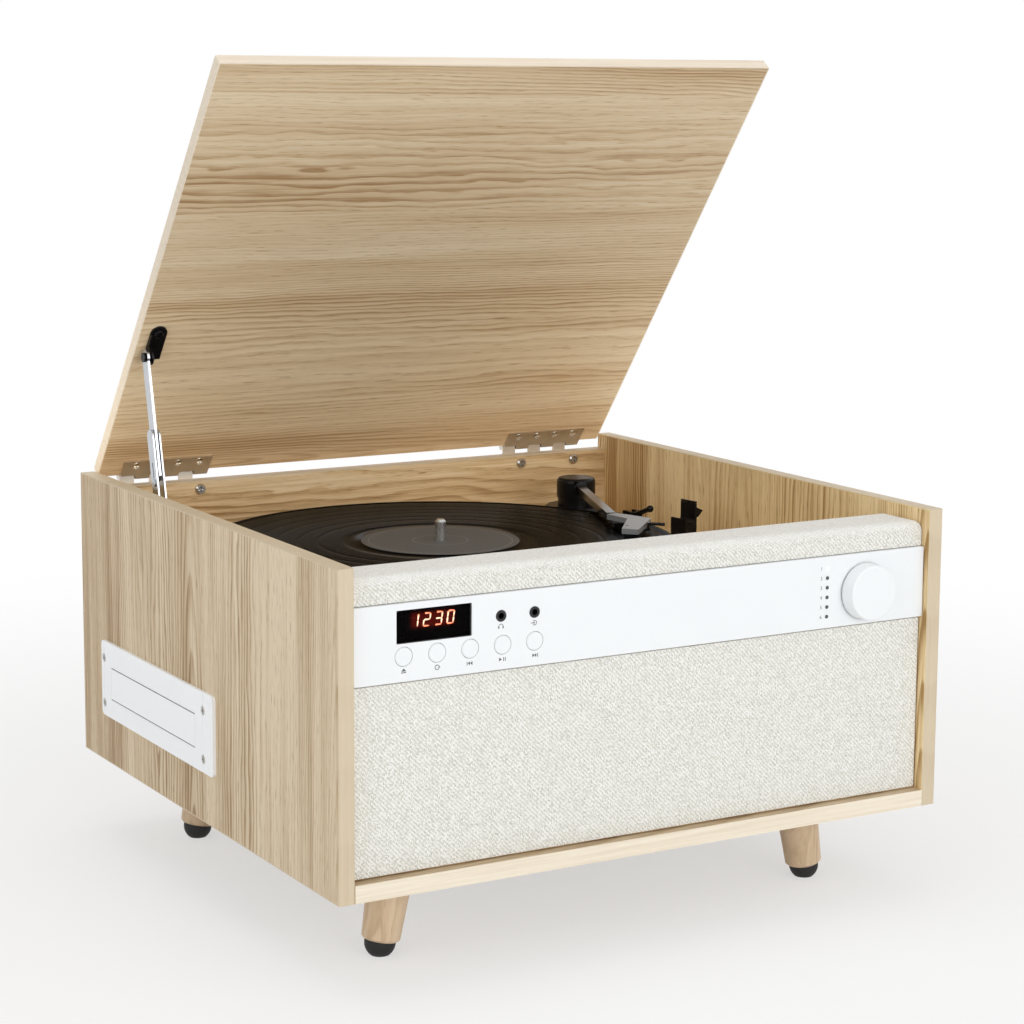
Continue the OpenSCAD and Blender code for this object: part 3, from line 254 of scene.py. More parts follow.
def timber(name, grain, across, light, middle_tone, dark, stave=0.06, line=0.0032, seed=0.0,
           contrast=1.0, pale=None, bands=(), painted_bounce_within=None, painted_light=None):
    """Open-pored wood in staves: fine growth lines run along the grain, and arch in a few staves.

    Bands are planes past which the pale edge shows, painted_bounce_within is the half width of the inner
    walls that get a painted warm bounce light, and tint is a direction, where its painted light starts and
    ends, and what it multiplies by.
    """
    wood = Finish(name, Specular_IOR_Level=0.3)
    deep = grain.cross(across)
    lengthwise = wood.along(grain)
    crosswise = wood.along(across)
    through = wood.along(deep)
    sway = wood.noise(wood.join(lengthwise * 1.2, crosswise * 7.0, seed), 1.0, 1.0)
    position = crosswise / stave + sway * 0.25 + seed
    uneven = position + (position * 2.4).wave() * 0.24
    index = uneven.floor()
    tone = wood.chance(index + seed)
    kind = wood.chance(index * 1.7 + 31.0 + seed)
    shifted = lengthwise + tone * 3.1
    warp = wood.noise(
        wood.join(shifted * 7.0, crosswise * 34.0, through * 34.0), 1.0, 3.0, 0.6) - 0.5
    ripple = wood.noise(
        wood.join(shifted * 26.0, crosswise * 120.0, through * 120.0), 1.0, 1.0) - 0.5
    centre = (uneven.fraction() - 0.5) * stave + (kind - 0.5) * 0.2
    arch = shifted * 0.07 - tone * 0.2
    ring = (wood.length(centre + warp * 0.014, arch) + ripple * 0.0006) / line
    growth = (ring + (ring * 0.31).wave() * 0.5).fraction()
    late = wood.ease(growth, 0.25, 0.86) * (1 - wood.ease(growth, 0.88, 1.0))
    fine = wood.noise(wood.join(shifted * 9.0, crosswise * 620.0, through * 620.0), 1.0, 2.0, 0.65)
    thread = wood.noise(wood.join(shifted * 30.0, crosswise * 1900.0, through * 1900.0), 1.0, 1.0)
    speckle = wood.noise(wood.join(shifted * 110.0, crosswise * 2300.0, through * 2300.0), 1.0, 0.0)
    pores = wood.ease(speckle, 0.60, 0.76)
    broad = wood.noise(wood.join(shifted * 1.3, crosswise * 17.0, through * 17.0), 1.0, 2.0)
    patch = wood.ease(broad, 0.36, 0.66)
    flame = wood.noise(wood.join(shifted * 2.2, crosswise * 75.0, through * 75.0), 1.0, 2.0, 0.6)
    depth = (late * (0.06 + patch * 0.34) + (fine - 0.5) * 0.55 + (thread - 0.5) * 0.35
             + (broad - 0.5) * 0.4 + (flame - 0.5) * 0.8 + (tone - 0.5) * 0.28) * contrast + 0.32
    colour = wood.ramp(depth, [(0.0, light), (0.45, middle_tone), (1.0, dark)])
    colour = wood.mix(pores * (0.12 + late * 0.4) * contrast, colour, dark)
    if pale:
        edge = None
        for direction, start in bands:
            beyond = wood.ease(wood.along(direction), start - 0.0003, start)
            edge = beyond if edge is None else edge.most(beyond)
        veneer = wood.mix(fine * 0.6, pale, middle_tone)
        colour = wood.mix(edge * 0.88, colour, veneer)
    # Light painted into the colour: it is multiplied more from start to end along a direction.
    if painted_light:
        direction, start, end, shade = painted_light
        colour = wood.mix(wood.ease(wood.along(direction), start, end), colour,
                          wood.mix(1.0, colour, shade, "MULTIPLY"))
    # Painted warm bounce light on the walls' inner faces: the colour is made warmer and brighter there.
    if painted_bounce_within:
        inside = wood.along(LEFT_RIGHT).size() < painted_bounce_within
        colour = wood.mix(inside * 1.0, colour, (1.3, 1.26, 1.06, 1), "MULTIPLY")
    wood.set(Base_Color=colour, Roughness=0.46 + late * 0.08 + pores * 0.12)
    return wood.relief(1 - pores * 0.7 - late * 0.2 - thread * 0.2, 0.0001, 0.5)


WHITE = paint(238, 241, 243)
# The bezels' bluish white, painted paler than the panel's white as painted light.
BEZEL_WHITE_PAINTED_PALER = paint(251, 253, 255)
OAK_LIGHT = paint(226, 209, 180)
OAK_TONE = paint(203, 181, 148)
OAK_DARK = paint(150, 118, 78)
EDGE_PALE = paint(213, 200, 176)


def panel_bands(node, *directions):
    """Planes just inside a node's outer faces, for its pale edges."""
    low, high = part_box(node)
    bands = []
    for direction in directions:
        reach = max(low.dot(direction), high.dot(direction))
        bands.append((direction, reach - EDGE_SHOWS))
    return bands


def cloth(name):
    """Linen twill in white and pale grey threads, run on from the front round to the top, with painted
    shade between the threads and a painted highlight along the top.
    """
    weave = Finish(name, Specular_IOR_Level=0.15, Sheen_Weight=0.2, Sheen_Roughness=0.5)
    drift = weave.noise(weave.place, 45.0, 1.0) * 2.0
    u = weave.along(LEFT_RIGHT) / THREAD + drift
    v = weave.along(FRONT_BACK + UPRIGHT) / THREAD - drift
    column = u.floor()
    row = v.floor()
    cell = weave.chance(column * 7.31 + row * 3.17 + (column * row) * 0.0113)
    missed = cell > 0.86
    over = (((column + row) / 4.0 + missed * 0.5 + 0.001).fraction() < 0.5) * 1.0
    warp = (u.fraction() * pi).wave()
    weft = (v.fraction() * pi).wave()
    height = over * warp + (1 - over) * weft * 0.8
    slub = weave.noise(weave.join(u * 0.45, v * 0.06, 0.0), 1.0, 1.0)
    slub_across = weave.noise(weave.join(u * 0.06, v * 0.45, 5.0), 1.0, 1.0)
    cloud = weave.noise(weave.place, 420.0, 2.0)
    warp_tone = weave.mix(slub_across, paint(255, 255, 253), paint(246, 245, 240))
    weft_tone = weave.mix(slub, paint(239, 239, 231), paint(212, 211, 201))
    colour = weave.mix(over, weft_tone, warp_tone)
    colour = weave.mix((cell < 0.13) * (0.25 + cloud * 0.4), colour, paint(176, 171, 158))
    # Painted shade: darker where the weave lies low between the threads.
    colour = weave.mix(weave.ease(height, 0.0, 0.6, 0.6, 0.0), colour, paint(186, 182, 171), "MULTIPLY")
    # Painted highlight: the top of the roll is made paler.
    painted_top_highlight = weave.ease(weave.along(UPRIGHT), ROLL_TOP - 5 * MM, ROLL_TOP - 1 * MM)
    colour = weave.mix(painted_top_highlight * 0.35, colour, paint(255, 254, 251))
    weave.set(Base_Color=colour, Roughness=0.92)
    return weave.relief(height + (slub + slub_across) * 0.3, 0.00016, 0.7)


def moulded(name, colour, roughness, grain=2600.0, depth=0.00002, mottle=0.04, **constants):
    """Moulded or painted plastic with a fine spark grain and a faint cloudiness."""
    plastic = Finish(name, **constants)
    cloud = plastic.noise(plastic.place, 38.0, 3.0)
    spark = plastic.noise(plastic.place, grain, 1.0)
    deeper = tuple(channel * (1 - 2 * mottle) for channel in colour[:3]) + (1,)
    plastic.set(Base_Color=plastic.mix(cloud, colour, deeper),
                Roughness=roughness + (cloud - 0.5) * 0.12 + (spark - 0.5) * 0.06)
    return plastic.relief(spark, depth, 0.6)


def tray_white_painted_edge_shade():
    """The white plastic again, with painted shade along the tray's upper and lower edges."""
    plastic = Finish("tray_white_painted_edge_shade")
    low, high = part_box("cd_tray")
    spark = plastic.noise(plastic.place, 2600.0, 1.0)
    # Painted shade: a dark line along the tray's upper and lower edges.
    edge = (plastic.along(UPRIGHT) - (low.z + high.z) / 2).size()
    shade = plastic.ease(edge, (high.z - low.z) / 2 - 0.5 * MM, (high.z - low.z) / 2 - 0.25 * MM)
    plastic.set(Base_Color=plastic.mix(shade * (0.8 + spark * 0.2), BEZEL_WHITE_PAINTED_PALER, paint(84, 85, 88)),
                Roughness=0.34 + spark * 0.06 + shade * 0.2)
    return plastic.relief(spark, 0.00002, 0.6)


def metal(name, colour, roughness, brush=(60.0, 60.0, 60.0), depth=0.00001, scratch=0.12, tarnish=0.25):
    """Plated or bare metal. Brush sets how far its fine lines are drawn out each way."""
    plate = Finish(name, Metallic=1.0)
    stretched = plate.vector("MULTIPLY", plate.place, brush)
    lines = plate.noise(stretched, 10.0, 3.0, 0.6)
    film = plate.noise(plate.place, 90.0, 3.0)
    darker = tuple(channel * 0.62 for channel in colour[:3]) + (1,)
    plate.set(Base_Color=plate.mix(film * tarnish * 2, colour, darker),
              Roughness=roughness + (lines - 0.5) * scratch + (film - 0.5) * 0.08)
    return plate.relief(lines, depth, 0.5)


def vinyl():
    """Black pressed vinyl with micro-grooves between the track gaps and a faint film of dust."""
    disc = Finish("pressed_vinyl", Metallic=1.0, Specular_Tint=(0.31, 0.316, 0.325, 1))
    r = disc.radius(RECORD_AXIS)
    groove = (r * (tau / GROOVE_PITCH)).wave()
    swell = disc.noise(disc.join(r * 900.0, 0.0, 0.0), 1.0, 2.0)
    dust = disc.ease(disc.noise(disc.place, 1400.0, 1.0), 0.70, 0.78)
    grooved = disc.ease(r, GROOVES_IN - 1 * MM, GROOVES_IN + 1 * MM) * (
        1 - disc.ease(r, GROOVES_OUT - 0.5 * MM, GROOVES_OUT + 0.5 * MM))
    black = disc.mix(swell, paint(51, 51, 51), paint(65, 64, 63))
    disc.set(Base_Color=disc.mix(dust * 0.12, black, paint(150, 146, 140)),
             Roughness=0.10 + grooved * (0.07 + swell * 0.10))
    return disc.relief(groove * 0.5 * grooved + swell * 0.6, 0.000004, 0.5)


def label_paper():
    """Plain uncoated paper with two printed rings."""
    paper = Finish("label_paper", Specular_IOR_Level=0.3)
    r = paper.radius(RECORD_AXIS)
    fibre = paper.noise(paper.place, 1100.0, 3.0)
    outer, inner = [1 - paper.ease((r - at).size(), 0.2 * MM, 0.4 * MM) for at in LABEL_RINGS]
    ring = outer.most(inner)
    ground = paper.mix(fibre, paint(94, 93, 92), paint(80, 79, 78))
    paper.set(Base_Color=paper.mix(ring * 0.5, ground, paint(150, 145, 138)), Roughness=0.55 + fibre * 0.2)
    return paper.relief(fibre, 0.00003, 0.4)


def cast_metal():
    """Painted casting of the platter, with its rubber mat on top."""
    cast = Finish("platter_casting_and_mat")
    height = cast.along(UPRIGHT)
    r = cast.radius(RECORD_AXIS)
    spindle = (r < SPINDLE_R) * 1.0
    mat = (height > RECORD_LOW.z - 1.5 * MM) * (1 - spindle)
    pebble = cast.noise(cast.place, 900.0, 2.0)
    turned = (r * (tau / 0.0006)).wave() * 0.5 + 0.5
    skin = cast.mix(pebble, paint(60, 60, 61), paint(44, 44, 45))
    steel = cast.mix(turned, paint(205, 205, 203), paint(168, 168, 167))
    colour = cast.mix(spindle, cast.mix(mat, skin, paint(24, 24, 24)), steel)
    cast.set(Base_Color=colour, Metallic=spindle,
             Roughness=0.5 + mat * 0.35 - spindle * 0.28 + pebble * 0.1)
    return cast.relief(pebble * (1 - spindle) + turned * mat * 0.5, 0.00004, 0.5)


def smoked_window():
    """Dark acrylic that the digits shine through, with the haze that a finger leaves."""
    glass = Finish("smoked_acrylic", Alpha=0.42, Specular_IOR_Level=0.03)
    haze = glass.noise(glass.place, 160.0, 3.0)
    glass.set(Base_Color=glass.mix(haze, paint(5, 4, 4), paint(11, 8, 8)), Roughness=0.05 + haze * 0.1)
    return glass.relief(haze, 0.000005, 0.3)


def display_black():
    """Module behind the window: black faces, with a painted red glow round the lit figures, which the
    module emits itself.
    """
    module = Finish("display_module_black", Specular_IOR_Level=0.05, Emission_Strength=1.0)
    across = ((module.along(LEFT_RIGHT) - WINDOW.x).size() - FIGURE_PITCH * 1.6).most(0.0)
    up = ((module.along(UPRIGHT) - FIGURES_Z).size() - FIGURE_HALF_H * 0.7).most(0.0)
    # Painted glow: the module's faces emit red light round the lit figures.
    haze = 1 - module.ease(module.length(across, up), 0.0, 0.0040)
    grain = module.noise(module.place, 800.0, 2.0)
    module.set(Base_Color=module.mix(grain, paint(6, 5, 5), paint(11, 9, 9)),
               Roughness=0.55 + grain * 0.2,
               Emission_Color=module.mix(haze * haze, (0, 0, 0, 1), (0.22, 0.012, 0.006, 1)))
    return module.relief(grain, 0.00001, 0.3)


def figure_glow():
    """Lit figures, white-hot along the middle and redder at their ends."""
    lit = Finish("figure_glow", Roughness=0.4, Emission_Strength=5.6)
    grain = lit.noise(lit.place, 700.0, 1.0)
    height = ((lit.along(UPRIGHT) - FIGURES_Z) / FIGURE_HALF_H).size()
    tone = lit.mix(lit.ease(height + grain * 0.3, 0.6, 1.25), (1.0, 0.66, 0.44, 1), (1.0, 0.24, 0.12, 1))
    lit.set(Base_Color=tone, Emission_Color=tone)
    return lit.relief(grain, 0.00001, 0.2)


def light_pipes():
    """Six clear pipe ends: the top one is lit and the others are dark smoke."""
    pipe = Finish("light_pipes", Emission_Strength=0.9, Coat_Weight=0.6, Coat_Roughness=0.1)
    lit = pipe.along(UPRIGHT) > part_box("source_lights")[1].z - 0.004
    r = pipe.noise(pipe.place, 1800.0, 1.0)
    smoke = pipe.mix(r, paint(84, 84, 86), paint(62, 62, 64))
    pipe.set(Base_Color=pipe.mix(lit, smoke, paint(236, 240, 242)),
             Emission_Color=pipe.mix(lit, (0, 0, 0, 1), paint(190, 204, 210)),
             Roughness=0.22 + r * 0.12)
    return pipe.relief(r, 0.00001, 0.3)


def board_green():
    """Lacquered circuit board with copper tracks and plated pads."""
    board = Finish("circuit_board", Coat_Weight=0.4, Coat_Roughness=0.2)
    x, y, z = board.along(LEFT_RIGHT), board.along(FRONT_BACK), board.along(UPRIGHT)
    bend = board.noise(board.join(x * 60.0, (y + z) * 60.0, 0.0), 1.0, 0.0)
    track = ((x * 420.0 + bend * 6.0).fraction() < 0.35) * ((bend * 9.0).fraction() < 0.6)
    cells = board.node("ShaderNodeTexVoronoi", None, {"Vector": board.place, "Scale": 260.0}, "Distance")
    pads = cells < 0.22
    fibre = board.noise(board.place, 900.0, 2.0)
    green = board.mix(track, board.mix(fibre, paint(26, 84, 52), paint(20, 66, 42)), paint(46, 118, 70))
    board.set(Base_Color=board.mix(pads, green, paint(186, 178, 150)), Roughness=0.34 + fibre * 0.2,
              Metallic=pads * 0.7)
    return board.relief(track * 0.6 + pads, 0.00004, 0.5)


def speaker_paper():
    """Pressed paper cone with faint ribs round the frame's axis."""
    cone = Finish("speaker_paper", Specular_IOR_Level=0.3)
    fibre = cone.noise(cone.place, 620.0, 3.0)
    z = cone.along(UPRIGHT) - middle("speaker_drivers").z
    x = cone.along(LEFT_RIGHT).size() - 0.105
    rib = (cone.length(x, z) * (tau / 0.003)).wave() * 0.5 + 0.5
    cone.set(Base_Color=cone.mix(fibre, paint(40, 39, 38), paint(58, 56, 54)),
             Roughness=0.75 + fibre * 0.15)
    return cone.relief(rib * 0.7 + fibre * 0.3, 0.00012, 0.5)


# The side panels' inner faces carry a painted warm bounce light.
oak_side = timber("oak_side", UPRIGHT, FRONT_BACK, OAK_LIGHT, OAK_TONE, OAK_DARK,
                  contrast=1.5, pale=EDGE_PALE,
                  bands=panel_bands("left_side_panel", -FRONT_BACK, FRONT_BACK, UPRIGHT, -UPRIGHT),
                  painted_bounce_within=-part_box("left_side_panel")[1].x + 0.2 * MM)
oak_base = timber("oak_base", LEFT_RIGHT, (FRONT_BACK + UPRIGHT).normalized(),
                  OAK_LIGHT, OAK_TONE, OAK_DARK,
                  seed=4.0, pale=paint(255, 248, 232), bands=panel_bands("base_board", -FRONT_BACK))
LID_FOOT = HINGE.dot(LID_REACH)
LID_EDGES = [(LID_REACH, LID_FOOT + LID_FRONT), (LEFT_RIGHT, LID_HALF_W), (-LEFT_RIGHT, LID_HALF_W)]
# Painted light: the lid's wood is made paler from 0.22 m along towards its hinge.
LID_PAINTED_LIGHT = (-LID_REACH, -LID_FOOT - 0.22, -LID_FOOT, (1.38, 1.32, 1.22, 1))
oak_lid = timber("oak_lid", LEFT_RIGHT, LID_REACH,
                 paint(223, 205, 175), paint(205, 181, 146), paint(157, 122, 81),
                 stave=0.064, line=0.0034, seed=9.0, contrast=1.1,
                 pale=paint(250, 241, 226), bands=LID_EDGES,
                 painted_light=LID_PAINTED_LIGHT)
oak_back = timber("oak_back", LEFT_RIGHT, UPRIGHT,
                  paint(238, 212, 170), paint(216, 184, 136), paint(158, 116, 68),
                  stave=0.05, line=0.0036, seed=15.0, contrast=1.5, pale=EDGE_PALE,
                  bands=panel_bands("back_panel", UPRIGHT))
oak_deck = timber("oak_deck", LEFT_RIGHT, FRONT_BACK, paint(238, 218, 180), paint(226, 204, 164),
                  paint(190, 160, 116), seed=21.0, contrast=0.6)
pine = timber("cleat_pine", LEFT_RIGHT, UPRIGHT,
              paint(226, 204, 166), paint(210, 184, 142), paint(176, 142, 98),
              seed=27.0, contrast=0.7)
beech = timber("beech_leg", UPRIGHT, (LEFT_RIGHT + FRONT_BACK).normalized(),
               paint(232, 210, 182), paint(217, 192, 161), paint(176, 146, 112),
               stave=0.09, line=0.003, seed=33.0, contrast=0.7)

wear("left_side_panel", "right_side_panel", finish=oak_side)
wear("base_board", finish=oak_base)
wear("lid_board", finish=oak_lid)
wear("back_panel", "rear_fascia", "front_baffle", finish=oak_back)
wear("deck_board", finish=oak_deck)
wear("inner_cleats", finish=pine)
wear("legs", finish=beech)
wear("speaker_grille", "top_rail", finish=cloth("linen_twill"))

white_panel = moulded("white_panel", WHITE, 0.36, mottle=0.012)
wear("control_strip", "open_close_button", "repeat_button", "previous_button", "play_pause_button",
     "next_button", "volume_knob", finish=white_panel)
# The bezels wear the paler white, which is painted light.
wear("cd_bezel", "cassette_bezel", "cassette_flap", "eject_button",
     finish=moulded("bezel_white_painted_paler", BEZEL_WHITE_PAINTED_PALER, 0.34, mottle=0.01))
wear("cd_tray", finish=tray_white_painted_edge_shade())
black_plastic = moulded("black_plastic", paint(21, 20, 21), 0.26, grain=1900.0, depth=0.00002, mottle=0.12,
                        Specular_IOR_Level=0.16)
wear("tonearm_base", "arm_rest", "rear_plate", "stay_lid_bracket", "tonearm_turret", "cartridge",
     "cue_lever", "arm_clip", "speed_lever", finish=black_plastic)
wear("display_window", finish=smoked_window())
wear("display_module", finish=display_black())
wear("source_lights", finish=light_pipes())
wear("jack_sockets", finish=moulded("jack_black", paint(24, 24, 25), 0.3, mottle=0.1))
wear("circuit_boards", finish=board_green())
wear("speaker_drivers", finish=speaker_paper())
wear("drive_motor", "cd_mechanism", "cassette_mechanism", "encoder_plunger",
     finish=moulded("grey_plastic", paint(128, 130, 132), 0.5, mottle=0.06))
wear("headshell",
     finish=moulded("silver_grey_plastic", paint(138, 140, 142), 0.34, grain=2200.0, mottle=0.08))
wear("drive_belt",
     finish=moulded("belt_rubber", paint(26, 25, 25), 0.72, grain=900.0, depth=0.00005, mottle=0.1))
wear("rubber_feet",
     finish=moulded("foot_rubber", paint(20, 20, 21), 0.66, grain=700.0, depth=0.00008, mottle=0.1))
wear("platter", finish=cast_metal())
wear("record_label", finish=label_paper())
wear("platter_bearing", "screws_and_bolts", "stay_wall_bracket", "rear_sockets", "motor_pulley",
     finish=metal("bright_steel", paint(196, 193, 188), 0.26))
wear("hinge_body_leaves", "hinge_lid_leaves",
     finish=metal("satin_nickel", paint(222, 212, 198), 0.36, brush=(8.0, 90.0, 90.0), tarnish=0.3))
wear("hinge_screws", finish=metal("screw_nickel", paint(236, 230, 220), 0.2, tarnish=0.3))
wear("stay_strap", "stay_channel",
     finish=metal("stay_chrome", paint(202, 205, 210), 0.2, brush=(90.0, 90.0, 12.0)))
wear("tonearm_tube",
     finish=metal("arm_tube_metal", paint(54, 59, 66), 0.18, brush=(90.0, 12.0, 90.0)))


# ---- new pieces ----

def finished(shape, name, finish, body, smooth=True):
    """Turns a bmesh into a piece that rides on a body."""
    bmesh.ops.remove_doubles(shape, verts=shape.verts, dist=1e-7)
    bmesh.ops.recalc_face_normals(shape, faces=shape.faces)
    mesh = bpy.data.meshes.new(name)
    shape.to_mesh(mesh)
    shape.free()
    mesh.materials.append(finish.material)
    for face in mesh.polygons:
        face.use_smooth = smooth
    piece = bpy.data.objects.new(name, mesh)
    scene.collection.objects.link(piece)
    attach(piece, body)
    return piece


def spun(profile, centre, steps):
    """A closed ring of the profile's (radius, height) points, spun round an upright axis."""
    shape = bmesh.new()
    rim = [shape.verts.new((centre.x + r, centre.y, z)) for r, z in profile]
    edges = [shape.edges.new((rim[i], rim[(i + 1) % len(rim)])) for i in range(len(rim))]
    bmesh.ops.spin(shape, geom=rim + edges, cent=centre, axis=(0, 0, 1), angle=tau, steps=steps,
                   use_merge=True)
    return shape


def record_profile():
    """Half section of the record: rounded rim, lead-in, six tracks with gaps, run-out and label land."""
    top = RECORD_HIGH.z
    low = RECORD_LOW.z
    field = top - 0.3 * MM
    outer = RECORD_HIGH.x - RECORD_AXIS.x
    hole = 3.62 * MM
    points = [(hole, top - 0.12 * MM), (49.4 * MM, top - 0.12 * MM), (50.6 * MM, top - 0.14 * MM),
              (51.6 * MM, field - 0.02 * MM)]
    start = GROOVES_IN
    tracks = (16.5, 12.0, 14.5, 11.0, 13.5, 15.0)
    for width in tracks:
        points.append((start, field - 0.03 * MM))
        points.append((start + 0.4 * MM, field + 0.02 * MM))
        for share in (0.25, 0.5, 0.75):
            points.append((start + width * share * MM, field + (0.03 if share == 0.5 else 0.022) * MM))
        points.append((start + (width - 0.9) * MM, field + 0.02 * MM))
        points.append((start + (width - 0.5) * MM, field - 0.03 * MM))
        start += width * MM
    points += [(outer - 4.6 * MM, field - 0.02 * MM), (outer - 3.4 * MM, top - 0.06 * MM),
               (outer - 1.4 * MM, top), (outer - 0.5 * MM, top - 0.22 * MM), (outer, (top + low) / 2)]
    under = [(outer - 0.5 * MM, low + 0.22 * MM), (outer - 1.4 * MM, low),
             (outer - 3.4 * MM, low + 0.06 * MM), (outer - 4.6 * MM, low + 0.3 * MM),
             (51.6 * MM, low + 0.3 * MM), (50.6 * MM, low + 0.12 * MM), (hole, low + 0.12 * MM)]
    return points + under


record = finished(spun(record_profile(), RECORD_AXIS, 160), "grooved_record", vinyl(), "platter")
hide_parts("record_disc")

DIGITS = {0: "abcdef", 1: "bc", 2: "abged", 3: "abgcd"}
SEGMENTS = {"a": (0, 1, 0), "g": (0, 0, 0), "d": (0, -1, 0), "b": (1, 0.5, 1), "c": (1, -0.5, 1),
            "e": (-1, -0.5, 1), "f": (-1, 0.5, 1)}
SLANT = tan(radians(8))


def bar(shape, length, width, depth):
    """A flat bar with pointed ends, lying along X with its face towards -Y."""
    ring = bmesh.ops.create_circle(shape, segments=6, radius=width / 2, cap_ends=True)["verts"]
    for vert in ring:
        vert.co.x += (length - width) / 2 * (1 if vert.co.x > 0 else -1)
    face = ring[0].link_faces[0]
    top = bmesh.ops.extrude_face_region(shape, geom=[face])["geom"]
    raised = [item for item in top if isinstance(item, bmesh.types.BMVert)]
    bmesh.ops.translate(shape, verts=raised, vec=(0, 0, depth))
    verts = ring + raised
    bmesh.ops.rotate(shape, verts=verts, matrix=Matrix.Rotation(pi / 2, 3, "X"))
    return verts


def display_digits(numbers):
    """Slanted seven-segment figures that stand in the module's face."""
    shape = bmesh.new()
    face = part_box("display_module")[0].y
    for place, number in enumerate(numbers):
        offset = (place - (len(numbers) - 1) / 2) * FIGURE_PITCH
        for segment in DIGITS[number]:
            x, z, upright = SEGMENTS[segment]
            length = (FIGURE_HALF_H if upright else 2 * FIGURE_HALF_W) - 0.3 * MM
            verts = bar(shape, length, 0.95 * MM, 0.5 * MM)
            if upright:
                bmesh.ops.rotate(shape, verts=verts, matrix=Matrix.Rotation(pi / 2, 3, "Y"))
            for vert in verts:
                vert.co += Vector((x * FIGURE_HALF_W, 0, z * FIGURE_HALF_H))
                vert.co.x += vert.co.z * SLANT
            bmesh.ops.translate(shape, verts=verts, vec=(WINDOW.x + offset, face + 0.45 * MM, FIGURES_Z))
    return shape


finished(display_digits((1, 2, 3, 0)), "display_digits", figure_glow(), "cabinet", smooth=False)


def tube_collar():
    """Rounded collar on the tonearm's tube, just clear of the turret's slot."""
    turret = middle("tonearm_turret")
    tube = middle("tonearm_tube")
    out = Vector((tube.x - turret.x, tube.y - turret.y, 0)).normalized()
    low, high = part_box("tonearm_turret")
    reach = (high.x - low.x) / 2 + 1.6 * MM
    shape = bmesh.new()
    bmesh.ops.create_cone(shape, cap_ends=True, segments=40, radius1=4.9 * MM, radius2=4.9 * MM,
                          depth=2.2 * MM)
    rims = [edge for edge in shape.edges if edge.calc_face_angle() > 1.0]
    bmesh.ops.bevel(shape, geom=rims, offset=0.6 * MM, segments=3, profile=0.5, affect="EDGES",
                    material=-1)
    bmesh.ops.rotate(shape, verts=shape.verts, matrix=out.to_track_quat("Z", "Y").to_matrix())
    bmesh.ops.translate(shape, verts=shape.verts, vec=Vector((turret.x, turret.y, tube.z)) + out * reach)
    return shape


finished(tube_collar(), "tube_collar", black_plastic, "tonearm")

ink = moulded("printed_ink", paint(92, 92, 94), 0.6, grain=3000.0, depth=0.000005, mottle=0.1)
INK_T = 0.05 * MM
MARK = 1.3 * MM


def flat_shape(shape, outline, at):
    """A thin printed patch. Outline points are (across, up) from a place on the strip, in marks."""
    verts = [shape.verts.new((at[0] + x * MARK, STRIP_FACE + INK_T / 2, at[1] + z * MARK))
             for x, z in outline]
    face = shape.faces.new(verts)
    raised = [item for item in bmesh.ops.extrude_face_region(shape, geom=[face])["geom"]
              if isinstance(item, bmesh.types.BMVert)]
    bmesh.ops.translate(shape, verts=raised, vec=(0, -INK_T, 0))


def block(x0, x1, z0, z1):
    return [(x0, z0), (x1, z0), (x1, z1), (x0, z1)]


def arc_band(shape, at, radius, width, start, end, steps=14):
    """A printed arc, as a band of its own width."""
    inner, outer = [], []
    for i in range(steps + 1):
        angle = radians(start + (end - start) * i / steps)
        inner.append(((radius - width / 2) * cos(angle), (radius - width / 2) * sin(angle)))
        outer.append(((radius + width / 2) * cos(angle), (radius + width / 2) * sin(angle)))
    flat_shape(shape, inner + outer[::-1], at)


def button_marks():
    """Plain pictograms: eject, repeat, back, play and pause, forward, phones and input."""
    shape = bmesh.new()
    low = 8.2 * MM
    names = ("open_close_button", "repeat_button", "previous_button", "play_pause_button", "next_button")
    places = [(middle(name).x, middle(name).z - low) for name in names]
    flat_shape(shape, [(-1.2, 0.0), (1.2, 0.0), (0, 1.3)], places[0])
    flat_shape(shape, block(-1.2, 1.2, -0.75, -0.35), places[0])
    arc_band(shape, places[1], 1.0, 0.35, 40, 330)
    flat_shape(shape, [(0.45, -0.25), (1.6, -0.25), (1.0, 0.65)], places[1])
    for side, at in ((-1, places[2]), (1, places[4])):
        for step in (-1.15, 0.05):
            flat_shape(shape, [(side * step, -0.85), (side * step, 0.85), (side * (step + 1.1), 0)], at)
        flat_shape(shape, block(side * 1.45 - 0.17, side * 1.45 + 0.17, -0.85, 0.85), at)
    flat_shape(shape, [(-1.7, -0.85), (-1.7, 0.85), (-0.35, 0)], places[3])
    flat_shape(shape, block(0.25, 0.62, -0.85, 0.85), places[3])
    flat_shape(shape, block(1.1, 1.47, -0.85, 0.85), places[3])
    low_jack, high_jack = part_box("jack_sockets")
    jack_z = (low_jack.z + high_jack.z) / 2 - 6.1 * MM
    phones = (low_jack.x + 3.2 * MM, jack_z)
    inlet = (high_jack.x - 3.2 * MM, jack_z)
    arc_band(shape, phones, 1.1, 0.3, 0, 180)
    flat_shape(shape, block(-1.35, -0.75, -0.8, 0.1), phones)
    flat_shape(shape, block(0.75, 1.35, -0.8, 0.1), phones)
    arc_band(shape, inlet, 1.0, 0.3, -140, 140)
    flat_shape(shape, block(-1.9, -0.3, -0.16, 0.16), inlet)
    flat_shape(shape, [(-0.45, -0.55), (0.3, 0), (-0.45, 0.55)], inlet)
    return shape


finished(button_marks(), "button_pictograms", ink, "cabinet", smooth=False)


